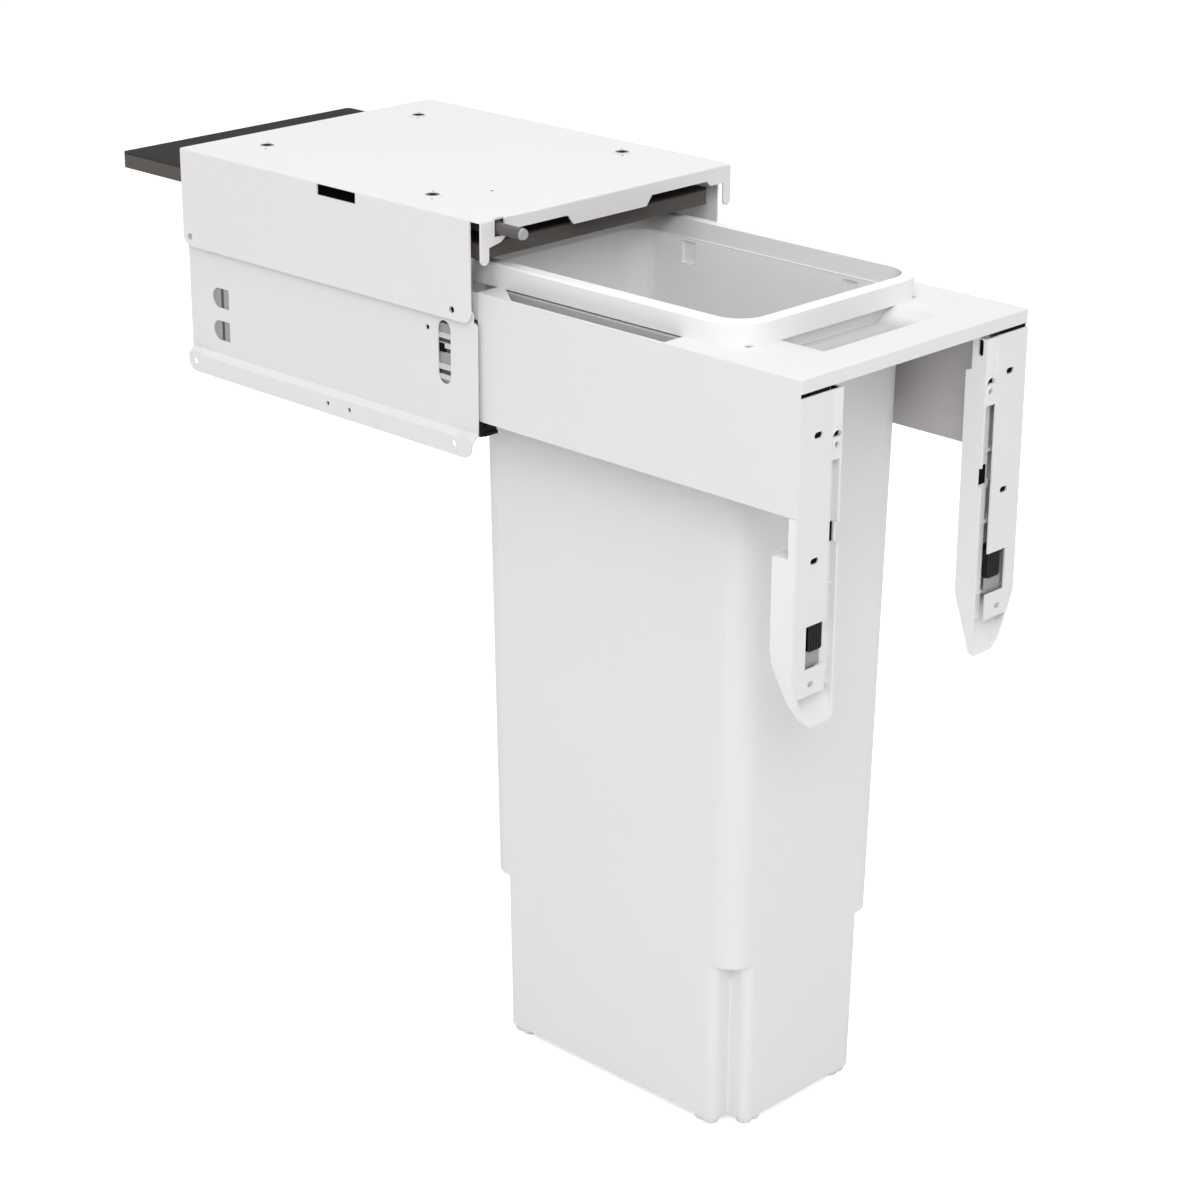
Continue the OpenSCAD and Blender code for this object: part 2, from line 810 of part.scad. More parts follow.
module fixed_rail_section() {
    half = rail_height / 2;
    rectangle([bracket_face, -half], [bracket_face + rail_web, half]);
    for (sign = [-1, 1]) mirror([0, sign < 0 ? 1 : 0]) difference() {
        union() {
            rectangle([bracket_face, fixed_track], [fixed_lip_x + rail_lip, half]);
            rectangle([fixed_lip_x, fixed_track - rail_lip], [fixed_lip_x + rail_lip, half]);
        }
        translate([outer_ball_x, outer_ball_z]) circle(ball_dia / 2 + running_gap);
    }
}

module middle_rail_section() {
    rectangle([middle_web_x, -middle_outer], [middle_web_x + rail_web, middle_outer]);
    for (sign = [-1, 1]) mirror([0, sign < 0 ? 1 : 0]) difference() {
        union() {
            rectangle([middle_web_x, middle_inner], [middle_lip_x, middle_outer]);
            rectangle([middle_lip_x - rail_lip, middle_inner - rail_lip], [middle_lip_x, middle_outer]);
        }
        translate([outer_ball_x, outer_ball_z]) circle(ball_dia / 2 + running_gap);
        translate([inner_ball_x, inner_ball_z]) circle(ball_dia / 2 + running_gap);
    }
}

module tray_rail_section() {
    rectangle([tray_web_x, -tray_track], [skin_inner, tray_track]);
    for (sign = [-1, 1]) mirror([0, sign < 0 ? 1 : 0]) difference() {
        rectangle([tray_track_x, tray_track - track_sheet], [skin_inner, tray_track]);
        translate([inner_ball_x, inner_ball_z]) circle(ball_dia / 2 + running_gap);
    }
}

module fixed_rail(side) {
    color("silver") on_side(side) translate([0, 0, rail_z])
        along_y(rail_front_y, rail_back_y) fixed_rail_section();
}

module middle_rail(side) {
    color("silver") on_side(side) translate([0, 0, rail_z])
        along_y(rail_front_y - middle_shift, rail_back_y - middle_shift) middle_rail_section();
}

module tray_rail(side) {
    color("silver") on_side(side) translate([0, 0, rail_z])
        along_y(rail_front_y - tray_travel, rail_back_y - tray_travel) tray_rail_section();
}

// Place along the rails of one ball in a row
function ball_y(centre_y, ball) = centre_y + (ball - (balls_per_row - 1) / 2) * ball_pitch;

// Folded strip with a pocket for each ball, from its web out past the ball row
module ball_cage(side, centre_y, web_x, ball_x, ball_z) {
    reach = ball_x + ball_dia / 2 + cage_sheet;
    color("dimgray") on_side(side) translate([0, 0, rail_z]) difference() {
        along_y(centre_y - cage_length / 2, centre_y + cage_length / 2) {
            rectangle([web_x, -ball_z], [web_x + cage_sheet, ball_z]);
            for (z = [-ball_z, ball_z])
                rectangle([web_x, z - cage_sheet / 2], [reach, z + cage_sheet / 2]);
        }
        for (z = [-ball_z, ball_z])
            for (ball = [0 : balls_per_row - 1])
                translate([ball_x, ball_y(centre_y, ball), z - ball_dia / 2])
                    cylinder(h = ball_dia, d = ball_dia + 2 * running_gap);
    }
}

module outer_cage(side) {
    ball_cage(side, outer_cage_centre, outer_cage_x, outer_ball_x, outer_ball_z);
}

module inner_cage(side) {
    ball_cage(side, inner_cage_centre, inner_cage_x, inner_ball_x, inner_ball_z);
}

module ball_rows(side, centre_y, ball_x, ball_z) {
    color("lightsteelblue") on_side(side) translate([0, 0, rail_z])
        for (z = [-ball_z, ball_z])
            for (ball = [0 : balls_per_row - 1])
                translate([ball_x, ball_y(centre_y, ball), z]) sphere(d = ball_dia, $fn = ball_fn);
}

module outer_balls(side) {
    ball_rows(side, outer_cage_centre, outer_ball_x, outer_ball_z);
}

module inner_balls(side) {
    ball_rows(side, inner_cage_centre, inner_ball_x, inner_ball_z);
}

// Sub-parts of the tray

module tray() {
    color("white") difference() {
        union() {
            difference() {
                along_z(tray_top - tray_sheet, tray_top)
                    rectangle([-skin_outer, tray_front], [skin_outer, tray_back]);
                recess_form(0);
            }
            difference() {
                recess_form(tray_sheet);
                recess_form(0);
                along_z(tray_top, tray_top + 2 * recess_depth)
                    rectangle([-half_width, tray_front], [half_width, tray_back]);
            }
            on_both_sides() along_x(skin_inner, skin_outer) skin_outline();
            along_y(tray_front, tray_front + tray_sheet)
                rectangle([-skin_outer, strip_bottom], [skin_outer, tray_top]);
        }
        along_z(tray_top - recess_depth - 2 * cut, tray_top + cut) {
            rectangle([-opening_half, opening_front], [opening_half, tray_back + cut]);
            on_both_sides() relief_outline();
        }
    }
}

// Side view of a skin: below the front strip it starts behind the door bracket's face plate
module skin_outline() {
    rectangle([tray_front, strip_bottom], [tray_back, tray_top]);
    rectangle([plate_back, skin_bottom], [tray_back, tray_top]);
}

// Pressed finger recess: wide at the tray's top, narrower at its floor, open to the bucket
module recess_form(grow) {
    recess_front = tray_front + recess_setback;
    hull() {
        along_z(tray_top + cut, tray_top + cut + slice) rectangle(
            [-recess_half_width - grow, recess_front - grow], [recess_half_width + grow, opening_front + cut]
        );
        along_z(tray_top - recess_depth - grow, tray_top - recess_depth - grow + slice) rectangle(
            [-recess_half_width + recess_ramp_run - grow, recess_front + recess_front_run - grow],
            [recess_half_width - recess_ramp_run + grow, opening_front + cut]
        );
    }
}

// Relief between the bucket's opening and a skin, slanted at its rear end
module relief_outline() {
    polygon([
        [opening_half - cut, relief_front],
        [skin_inner - rest_gap, relief_front],
        [skin_inner - rest_gap, relief_back],
        [opening_half - cut, relief_back + relief_slant]
    ]);
}

// Angle that hangs from the tray beside the bucket and hides a runner
module rail_cover(side) {
    top = tray_top - tray_sheet;
    color("whitesmoke") on_side(side) along_y(arm_back + rest_gap, tray_back) {
        rectangle([cover_face - tray_sheet, cover_bottom], [cover_face, top]);
        rectangle([opening_half, top - tray_sheet], [cover_face, top]);
    }
}

// Bent strap that ties the skins together behind the bucket
module rear_yoke() {
    yoke_outer = skin_inner;
    color("whitesmoke") along_z(tray_top - tray_sheet - yoke_height, tray_top - tray_sheet) difference() {
        union() {
            rectangle([-yoke_outer, tray_back - yoke_overlap], [yoke_outer, yoke_back - yoke_radius]);
            rounded_rectangle(
                [-yoke_outer, yoke_back - 4 * yoke_radius], [yoke_outer, yoke_back], yoke_radius
            );
        }
        rectangle(
            [-yoke_outer + tray_sheet, tray_back - yoke_overlap - cut],
            [yoke_outer - tray_sheet, yoke_back - yoke_radius]
        );
        rounded_rectangle(
            [-yoke_outer + tray_sheet, yoke_back - 4 * yoke_radius],
            [yoke_outer - tray_sheet, yoke_back - tray_sheet], yoke_radius - tray_sheet
        );
    }
}

// Bucket

module bucket() {
    color("white") translate([0, bucket_y, 0]) difference() {
        union() {
            rim_shape();
            upper_body(0);
            lower_body(0);
            bucket_feet();
        }
        upper_body(bucket_wall);
        lower_body(bucket_wall);
        rim_mouth();
        rim_channel();
        mouth_pockets();
    }
}

// Outer rim band, drawn in slightly at its top edge
module rim_shape() {
    hull() {
        translate([0, 0, rim_bottom]) linear_extrude(height = rim_height - rim_lead)
            plan_outline(rim_width, rim_length, rim_radius);
        translate([0, 0, rim_top - slice]) linear_extrude(height = slice)
            plan_outline(rim_width - 2 * rim_lead, rim_length - 2 * rim_lead, rim_radius - rim_lead);
    }
}

// Mouth inside the rim, drawn in to a small ledge above the long walls
module rim_mouth() {
    mouth_length = body_top_length - 2 * bucket_wall;
    ledge_inset = bucket_wall - ledge_width;
    hull() {
        translate([0, 0, rim_top]) linear_extrude(height = cut)
            plan_outline(rim_width - 2 * rim_band, mouth_length, rim_radius - rim_band);
        translate([0, 0, rim_top - ledge_drop]) linear_extrude(height = slice)
            plan_outline(body_top_width - 2 * ledge_inset, mouth_length, body_radius - ledge_inset);
    }
}

// Channel under the rim, which is a folded wall and not a solid bar
module rim_channel() {
    inner_cover = rim_band - bucket_wall;
    channel_length = body_top_length + 2 * ledge_width;
    difference() {
        hull() translate([0, 0, rim_bottom - cut]) linear_extrude(height = rim_height - bucket_wall + cut)
            plan_outline(rim_width - 2 * bucket_wall, rim_length - 2 * bucket_wall, rim_radius - bucket_wall);
        hull() {
            translate([0, 0, rim_top]) linear_extrude(height = slice)
                plan_outline(rim_width - 2 * inner_cover, channel_length, rim_radius - inner_cover);
            translate([0, 0, rim_bottom - 2 * cut]) linear_extrude(height = slice)
                plan_outline(body_top_width + 2 * ledge_width, channel_length, body_radius + ledge_width);
        }
    }
}

// Tapered body from the corner steps up to the rim, drawn in by the wall for its inside
module upper_body(inset) {
    floor_z = inset > 0 ? step_z + inset : step_z;
    roof_z = inset > 0 ? rim_top + cut : rim_bottom + cut;
    hull() {
        translate([0, 0, floor_z]) linear_extrude(height = slice)
            plan_outline(step_width - 2 * inset, step_length - 2 * inset, body_radius - inset);
        translate([0, 0, roof_z - slice]) linear_extrude(height = slice)
            plan_outline(body_top_width - 2 * inset, body_top_length - 2 * inset, body_radius - inset);
    }
}

// Stepped lower body: the corners are cut square, between rounded ridges
module lower_body(inset) {
    floor_z = inset > 0 ? base_z + inset : base_z;
    height = step_z + (inset > 0 ? inset + slice : 0) - floor_z;
    translate([0, 0, floor_z]) linear_extrude(
        height = height,
        scale = [step_width / body_base_width, step_length / body_base_length],
        slices = 1
    ) stepped_outline(inset);
}

module stepped_outline(inset) {
    fillet = inset > 0 ? ridge_radius - inset : ridge_radius;
    offset(r = -groove_radius, $fn = blend_fn) offset(delta = groove_radius)
        offset(r = fillet, $fn = blend_fn) offset(delta = -fillet - inset) {
            square([body_base_width, body_base_length - 2 * corner_step], center = true);
            square([body_base_width - 2 * corner_step, body_base_length], center = true);
        }
}

// Rounded feet that carry each corner's ridges on below the base
module bucket_feet() {
    along_wall = ridge_radius;
    foot_x = body_base_width / 2 - ridge_radius;
    foot_y = body_base_length / 2 - ridge_radius;
    for (side = [left, right])
        for (end = [left, right])
            for (shift = [0, along_wall]) {
                translate([side * foot_x, end * (foot_y - corner_step - shift), base_z]) bucket_foot();
                translate([side * (foot_x - corner_step - shift), end * foot_y, base_z]) bucket_foot();
            }
}

module bucket_foot() {
    translate([0, 0, -foot_height])
        cylinder(h = foot_height + bucket_wall, r1 = ridge_radius - foot_bevel, r2 = ridge_radius);
}

// Shallow pockets in the long walls, just under the ledge
module mouth_pockets() {
    pocket_x = body_top_width / 2 - bucket_wall - cut;
    for (side = [left, right])
        for (y = [-pocket_spacing / 2, pocket_spacing / 2])
            on_side(side) along_x(pocket_x, pocket_x + cut + pocket_depth) rectangle(
                [y - pocket_width / 2, rim_top - pocket_drop - pocket_height],
                [y + pocket_width / 2, rim_top - pocket_drop]
            );
}

// Door brackets

module door_bracket(side) {
    color("whitesmoke") on_side(side) difference() {
        union() {
            along_y(plate_front, plate_back) plate_outline();
            along_x(skin_inner - plate_sheet, skin_inner) round_bottomed(
                [plate_front, skin_bottom + side_web_lift], [plate_back + side_web_depth, plate_top],
                side_web_radius
            );
        }
        along_y(plate_front - cut, plate_back + cut) {
            for (z = [0, -door_hole_spacing])
                flat_slot([door_hole_x, door_hole_z + z], door_slot_length, door_slot_height);
            flat_slot(
                [door_hole_x, roof_top - tab_screw_drop], tab_slot_length, screw_shank_dia + 2 * running_gap
            );
        }
    }
}

// Front view of a face plate: its window is open to the inner edge, its lower corner is cut off
module plate_outline() {
    difference() {
        polygon([
            [plate_inner, plate_top],
            [plate_inner, plate_bottom],
            [plate_outer - plate_corner_width, plate_bottom],
            [plate_outer, plate_bottom + plate_corner_height],
            [plate_outer, plate_top]
        ]);
        rectangle([plate_inner - cut, window_bottom], [plate_inner + plate_window_depth, window_top]);
    }
}

// Front view of the moulded arm, drawn in by a wall for its trough
module arm_front_view(inset) {
    polygon([
        [arm_inner + inset, arm_top],
        [arm_outer - inset, arm_top],
        [arm_outer - inset, arm_shoulder - inset],
        [arm_flank + arm_flare - inset, arm_shoulder - inset],
        [arm_flank + arm_flare - inset, roof_top - arm_flank_drop + arm_flare_rise],
        [arm_flank - arm_elbow_run - inset, roof_top - arm_elbow_drop],
        [arm_flank - arm_toe_run - inset, roof_top - arm_toe_drop + inset],
        [arm_flank - arm_tip_run - inset, arm_tip + inset],
        [arm_inner + arm_heel_run + inset, arm_tip + inset],
        [arm_inner + inset, arm_tip + arm_heel_run + inset]
    ]);
}

// Side view of the arm: a slanted top edge, a straight back and a heel that runs out at the tip
module arm_side_view(inset) {
    polygon([
        [arm_front - cut * sign(inset), roof_top - arm_wall_drop + arm_wall_rise - inset],
        [arm_back - inset, roof_top - arm_wall_drop - inset],
        [arm_back - inset, arm_heel],
        [arm_front + arm_wall * (1 - sign(inset)), arm_tip + inset],
        [arm_front - cut * sign(inset), arm_tip + inset]
    ]);
}

// Plan of the arm, whose outer flank leans out towards the back
module arm_plan(inset) {
    polygon([
        [arm_inner, arm_front - cut],
        [arm_flank - inset, arm_front - cut],
        [arm_flank - inset, arm_front],
        [arm_flank + arm_flare - inset, arm_back - inset],
        [arm_inner, arm_back - inset]
    ]);
}

module arm_body(inset) {
    intersection() {
        along_y(arm_front - cut, arm_back) arm_front_view(inset);
        along_x(arm_inner, arm_flank + arm_flare) arm_side_view(inset);
        along_z(arm_tip, arm_top) arm_plan(inset);
    }
}

// Room for the runner's end beside the deep half of the arm when the tray is shut
module runner_clearance(inset) {
    along_x(arm_split_x - inset, arm_flank + arm_flare + cut) rectangle(
        [arm_shallow_back - inset, arm_shallow_end - inset], [arm_back + cut, arm_top + cut]
    );
}

module bracket_arm(side) {
    color("white") on_side(side) difference() {
        union() {
            difference() {
                arm_body(0);
                difference() {
                    arm_body(arm_wall);
                    runner_clearance(arm_wall);
                }
                runner_clearance(0);
            }
            arm_tab();
            intersection() {
                arm_body(0);
                arm_stiffeners();
            }
            hook_plate();
            strip_floor();
        }
        arm_cuts();
    }
}

// Cross ribs in the trough and the boss behind the lower screw
module arm_stiffeners() {
    difference() {
        for (rib = [0 : arm_ribs - 1])
            translate([0, 0, roof_top - arm_rib_drop - arm_rib_pitch * rib])
                along_z(0, arm_wall) rectangle(
                    [arm_inner, arm_front + arm_rib_setback], [arm_flank + arm_flare, arm_back]
                );
        runner_clearance(0);
    }
    along_y(arm_front, arm_back)
        translate([door_hole_x, roof_top - tab_screw_drop]) circle(screw_boss_dia / 2);
}

// Upright tab of the arm's inner wall that is fixed under the tray
module arm_tab() {
    along_x(arm_inner, arm_inner + arm_wall) difference() {
        rectangle([arm_front, roof_top - arm_wall_drop], [arm_front + arm_tab_depth, arm_top]);
        upright_slot(
            [arm_front + arm_slot_setback, roof_top - arm_slot_drop], arm_slot_width, arm_slot_height
        );
    }
}

// Plate across the trough's open strip, with the half-moon and the locking hole
module hook_plate() {
    along_y(arm_front, arm_front + arm_wall) round_bottomed(
        [arm_inner, roof_top - hook_plate_end_drop], [plate_inner + arm_wall, arm_top], hook_plate_radius
    );
}

// Floor of the open strip between the arm's inner wall and the face plate
module strip_floor() {
    floor_y = arm_front + arm_floor_setback;
    along_y(floor_y, floor_y + arm_wall) rectangle(
        [arm_inner, plate_bottom], [plate_inner + arm_floor_overlap, roof_top - hook_plate_end_drop]
    );
}

module arm_cuts() {
    strip_x = (arm_inner + plate_inner) / 2;
    for (z = [0, -door_hole_spacing])
        along_y(arm_front - cut, arm_back + cut)
            translate([door_hole_x, door_hole_z + z]) circle(driver_hole_dia / 2);
    along_y(arm_front - cut, arm_front + 2 * arm_wall) {
        translate([strip_x, roof_top - hook_hole_drop]) circle(hook_hole_dia / 2);
        intersection() {
            translate([strip_x, roof_top - half_moon_drop]) circle(half_moon_dia / 2);
            rectangle(
                [arm_inner, roof_top - half_moon_drop],
                [plate_inner, roof_top - half_moon_drop + half_moon_dia]
            );
        }
    }
    along_x(arm_inner - cut, arm_inner + arm_wall + cut) rectangle(
        [arm_front - cut, roof_top - catch_slot_drop - catch_slot_height],
        [arm_front + catch_slot_depth, roof_top - catch_slot_drop]
    );
    translate([door_hole_x, arm_front - cut, roof_top - tab_screw_drop]) rotate([-90, 0, 0])
        cylinder(h = screw_length + cut, d = screw_shank_dia);
}

// Dark grooved block that shows in the face plate's window
module adjuster(side) {
    low_x = plate_inner + adjuster_inset;
    pitch = adjuster_width / (adjuster_grooves + 1);
    color("black") on_side(side) difference() {
        along_y(arm_front, arm_front + adjuster_depth) round_bottomed(
            [low_x, adjuster_bottom], [low_x + adjuster_width, adjuster_top], adjuster_radius
        );
        for (groove = [1 : adjuster_grooves])
            translate([low_x + pitch * groove - adjuster_groove / 2, 0, 0])
                along_z(adjuster_bottom - cut, adjuster_top + cut)
                    rectangle([0, arm_front - cut], [adjuster_groove, arm_front + adjuster_groove]);
    }
}

// Headless screws behind the slots in the brackets' lower tabs
module bracket_screws() {
    color("silver") on_both_sides()
        translate([door_hole_x, plate_front + screw_recess, roof_top - tab_screw_drop]) rotate([-90, 0, 0])
            cylinder(h = screw_length, d = screw_shank_dia);
}

// Lid and its guides

module lid() {
    color("#4a4648") difference() {
        union() {
            difference() {
                along_z(lid_bottom, lid_top) lid_outline(0);
                along_z(lid_bottom - cut, lid_top - lid_wall) lid_outline(lid_wall);
            }
            on_both_sides() for (y = [0, guide_pitch])
                translate([guide_x, front_y + guide_setback + y, lid_top - lid_wall])
                    cylinder(h = lid_wall + collar_height, d = collar_dia);
            lid_ribs();
        }
        on_both_sides() for (y = [0, guide_pitch])
            translate([guide_x, front_y + guide_setback + y, lid_top - lid_wall - cut])
                cylinder(h = lid_wall + collar_height + 2 * cut, d = guide_dia + 2 * running_gap);
    }
}

module lid_outline(inset) {
    rounded_rectangle(
        [-lid_width / 2 + inset, lid_front + inset],
        [lid_width / 2 - inset, lid_back - inset],
        lid_radius - inset
    );
}

// Cross ribs under the lid, spread over its length clear of the guide springs
module lid_ribs() {
    for (rib = [1 : lid_rib_count])
        translate([0, lid_front + lid_depth * rib / (lid_rib_count + 1), 0]) along_x(
            -lid_width / 2 + lid_wall, lid_width / 2 - lid_wall
        ) rectangle([0, lid_top - lid_wall - lid_rib_height], [lid_rib_wall, lid_top - lid_wall]);
}

// Shouldered pins that hang from the roof and guide the lid
module lid_guide_pins() {
    shoulder_end = lid_top + collar_height + rest_gap;
    color("silver") on_both_sides() for (y = [0, guide_pitch])
        translate([guide_x, front_y + guide_setback + y, 0]) {
            translate([0, 0, shoulder_end]) cylinder(h = roof_under - shoulder_end, d = guide_shoulder_dia);
            translate([0, 0, guide_head_top]) cylinder(h = roof_under - guide_head_top, d = guide_dia);
            translate([0, 0, guide_head_top - guide_head_height])
                cylinder(h = guide_head_height, d = guide_shoulder_dia);
        }
}

// Coil springs that lift the lid off the heads of its guide pins
module lid_springs() {
    color("gray") on_both_sides() for (y = [0, guide_pitch])
        translate([guide_x, front_y + guide_setback + y, guide_head_top + spring_seat_gap])
            linear_extrude(
                height = spring_length, twist = -360 * spring_turns,
                slices = spring_slices * spring_turns, $fn = spring_fn
            ) translate([spring_radius, 0]) circle(spring_wire / 2);
}

// Door damper

module damper_sleeve() {
    color("dimgray") translate([-damper_offset, sleeve_front, damper_z]) rotate([-90, 0, 0]) difference() {
        cylinder(h = sleeve_length, d = sleeve_dia);
        translate([0, 0, -cut]) cylinder(
            h = sleeve_length - sleeve_wall_end + cut, d = plunger_dia + 2 * running_gap
        );
    }
}

// Strap that holds the sleeve up against the roof
module damper_clip() {
    ring = sleeve_dia / 2 + clip_sheet;
    color("lightgray") along_y(front_y + clip_setback, front_y + clip_setback + clip_width) difference() {
        union() {
            translate([-damper_offset, damper_z]) circle(ring);
            rectangle([-damper_offset - ring, damper_z], [-damper_offset + ring, roof_under]);
            rectangle(
                [-damper_offset + ring - clip_sheet, roof_under - clip_sheet],
                [-damper_offset + ring + clip_tab, roof_under]
            );
        }
        translate([-damper_offset, damper_z]) circle(sleeve_dia / 2);
        rectangle(
            [-damper_offset - sleeve_dia / 2, damper_z], [-damper_offset + sleeve_dia / 2, roof_under + cut]
        );
        rectangle([-damper_offset - ring - cut, roof_under], [-damper_offset + ring + cut, roof_top]);
    }
}

module damper_plunger() {
    color("#555152") translate([-damper_offset, plunger_front + tip_length, damper_z]) rotate([-90, 0, 0])
        cylinder(h = plunger_back - plunger_front - tip_length, d = plunger_dia);
}

// Soft tip that meets the closing door
module damper_tip() {
    color("darkgray") translate([-damper_offset, plunger_front, damper_z]) rotate([-90, 0, 0])
        cylinder(h = tip_length, d1 = plunger_dia - tip_taper, d2 = plunger_dia);
}

top_frame();
side_panel(left);  // left_side_panel
side_panel(right);  // right_side_panel
runner_bracket(left);  // left_runner_bracket
runner_bracket(right);  // right_runner_bracket
runner_cap(left);  // left_runner_cap
runner_cap(right);  // right_runner_cap
fixed_rail(left);  // left_fixed_rail
fixed_rail(right);  // right_fixed_rail
middle_rail(left);  // left_middle_rail
middle_rail(right);  // right_middle_rail
tray_rail(left);  // left_tray_rail
tray_rail(right);  // right_tray_rail
outer_cage(left);  // left_outer_cage
outer_cage(right);  // right_outer_cage
inner_cage(left);  // left_inner_cage
inner_cage(right);  // right_inner_cage
outer_balls(left);  // left_outer_balls
outer_balls(right);  // right_outer_balls
inner_balls(left);  // left_inner_balls
inner_balls(right);  // right_inner_balls
tray();
rail_cover(left);  // left_rail_cover
rail_cover(right);  // right_rail_cover
rear_yoke();
bucket();
door_bracket(left);  // left_door_bracket
door_bracket(right);  // right_door_bracket
bracket_arm(left);  // left_bracket_arm
bracket_arm(right);  // right_bracket_arm
adjuster(left);  // left_adjuster
adjuster(right);  // right_adjuster
bracket_screws();
lid();
lid_guide_pins();
lid_springs();
damper_sleeve();
damper_clip();
damper_plunger();
damper_tip();
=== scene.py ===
import math
import bpy
import bmesh
from mathutils import Matrix, Vector


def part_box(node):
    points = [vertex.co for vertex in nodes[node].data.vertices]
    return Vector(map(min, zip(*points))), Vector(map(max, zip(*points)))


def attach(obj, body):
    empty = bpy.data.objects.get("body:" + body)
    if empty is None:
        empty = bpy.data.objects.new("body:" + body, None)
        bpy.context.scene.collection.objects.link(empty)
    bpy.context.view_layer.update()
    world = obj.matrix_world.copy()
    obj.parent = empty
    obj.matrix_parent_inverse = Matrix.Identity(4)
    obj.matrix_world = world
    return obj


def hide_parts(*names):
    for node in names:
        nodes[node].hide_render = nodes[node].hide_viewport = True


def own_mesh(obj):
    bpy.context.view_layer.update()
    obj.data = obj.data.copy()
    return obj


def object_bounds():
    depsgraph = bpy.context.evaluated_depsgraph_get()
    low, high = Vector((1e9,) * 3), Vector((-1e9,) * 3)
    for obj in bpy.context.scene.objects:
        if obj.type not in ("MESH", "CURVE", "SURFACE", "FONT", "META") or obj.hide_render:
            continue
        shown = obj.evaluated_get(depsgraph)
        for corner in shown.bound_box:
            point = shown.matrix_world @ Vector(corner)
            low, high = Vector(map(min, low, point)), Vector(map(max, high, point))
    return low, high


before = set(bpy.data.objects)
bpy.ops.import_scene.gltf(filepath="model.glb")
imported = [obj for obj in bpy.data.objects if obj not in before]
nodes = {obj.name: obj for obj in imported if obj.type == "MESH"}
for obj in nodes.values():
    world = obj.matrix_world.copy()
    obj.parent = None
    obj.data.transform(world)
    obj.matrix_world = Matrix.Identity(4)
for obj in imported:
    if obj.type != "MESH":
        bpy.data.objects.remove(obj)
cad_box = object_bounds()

MM = 0.001
SIDES = (("left", -1), ("right", 1))
scene = bpy.context.scene


# Places taken from the frame, in millimetres

BOSS_HEIGHT, STRIP_HEIGHT, LID_HEIGHT, PLATE_SHEET = 0.6, 10.5, 12.5, 1.5


def in_mm(corners):
    """Lowest and highest corners of a box, in millimetres."""
    return [Vector(corner) / MM for corner in corners]


ROOF_LOW, ROOF_HIGH = in_mm(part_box("top_frame"))
TRAY_LOW, TRAY_HIGH = in_mm(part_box("tray"))
LID_LOW, LID_HIGH = in_mm(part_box("lid"))
ROOF_TOP = ROOF_HIGH.z - BOSS_HEIGHT
LID_TOP = LID_LOW.z + LID_HEIGHT
PANEL_INNER = in_mm(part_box("right_side_panel"))[0].x
PLATE_BACK = in_mm(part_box("right_door_bracket"))[0].y + PLATE_SHEET
BUCKET_Y = (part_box("bucket")[0][1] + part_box("bucket")[1][1]) / 2 / MM


# Camera at the photograph's viewpoint, solved from the object's own edges

# Lengths in millimetres, except for the two clipping distances in metres
AZIMUTH, ELEVATION, ROLL = math.radians(-46.07), math.radians(21.15), math.radians(0.33)
DISTANCE, SHIFT_RIGHT, SHIFT_UP, AIM_Y = 2206.1, 0.7, -302.8, -72
FOCAL_PIXELS, IMAGE_PIXELS, SENSOR = 3001.0, 1200, 36
CLIP_NEAR, CLIP_FAR = 0.05, 60


def make_camera():
    back = Vector((math.sin(AZIMUTH) * math.cos(ELEVATION),
                   -math.cos(AZIMUTH) * math.cos(ELEVATION), math.sin(ELEVATION)))
    level_right = (-back).cross(Vector((0, 0, 1))).normalized()
    level_up = level_right.cross(-back)
    right = level_right * math.cos(ROLL) + level_up * math.sin(ROLL)
    up = level_up * math.cos(ROLL) - level_right * math.sin(ROLL)
    place = SHIFT_RIGHT * right + SHIFT_UP * up + DISTANCE * back + Vector((0, AIM_Y, 0))
    camera = bpy.data.objects.new("camera", bpy.data.cameras.new("camera"))
    camera.data.sensor_width = SENSOR
    camera.data.lens = FOCAL_PIXELS * SENSOR / IMAGE_PIXELS
    camera.data.clip_start, camera.data.clip_end = CLIP_NEAR, CLIP_FAR
    matrix = Matrix((right, up, back)).transposed().to_4x4()
    matrix.translation = place * MM
    camera.matrix_world = matrix
    scene.collection.objects.link(camera)
    scene.camera = camera


make_camera()


# Materials

DRIFT_SCALE, DRIFT_DETAIL = 9, 3
PATCH_SCALE, PATCH_DETAIL, PATCH_LOW, PATCH_HIGH = 45, 4, 0.88, 1.14
GRAIN_DETAIL, GRAIN_DEPTH = 2, 0.0004
EDGE_REACH, EDGE_SAMPLES, EDGE_LEVEL = 0.0008, 4, 0.93
EDGE_SHARP, EDGE_FLAT = 0.75, 0.99
SCATTER_REACH = 0.004
FACING_FROM, FACING_FULL = -0.02, -0.03
# Scale that takes the height out of a place or a direction
LEVEL = (1, 1, 0)


def linear(hex_colour):
    parts = [int(hex_colour[i:i + 2], 16) / 255 for i in (1, 3, 5)]
    return [p / 12.92 if p <= 0.04045 else ((p + 0.055) / 1.055) ** 2.4 for p in parts] + [1]


def grey(level):
    return (level, level, level, 1)


def scaled(colour, factor):
    return [min(1, c * factor) for c in colour[:3]] + [1]


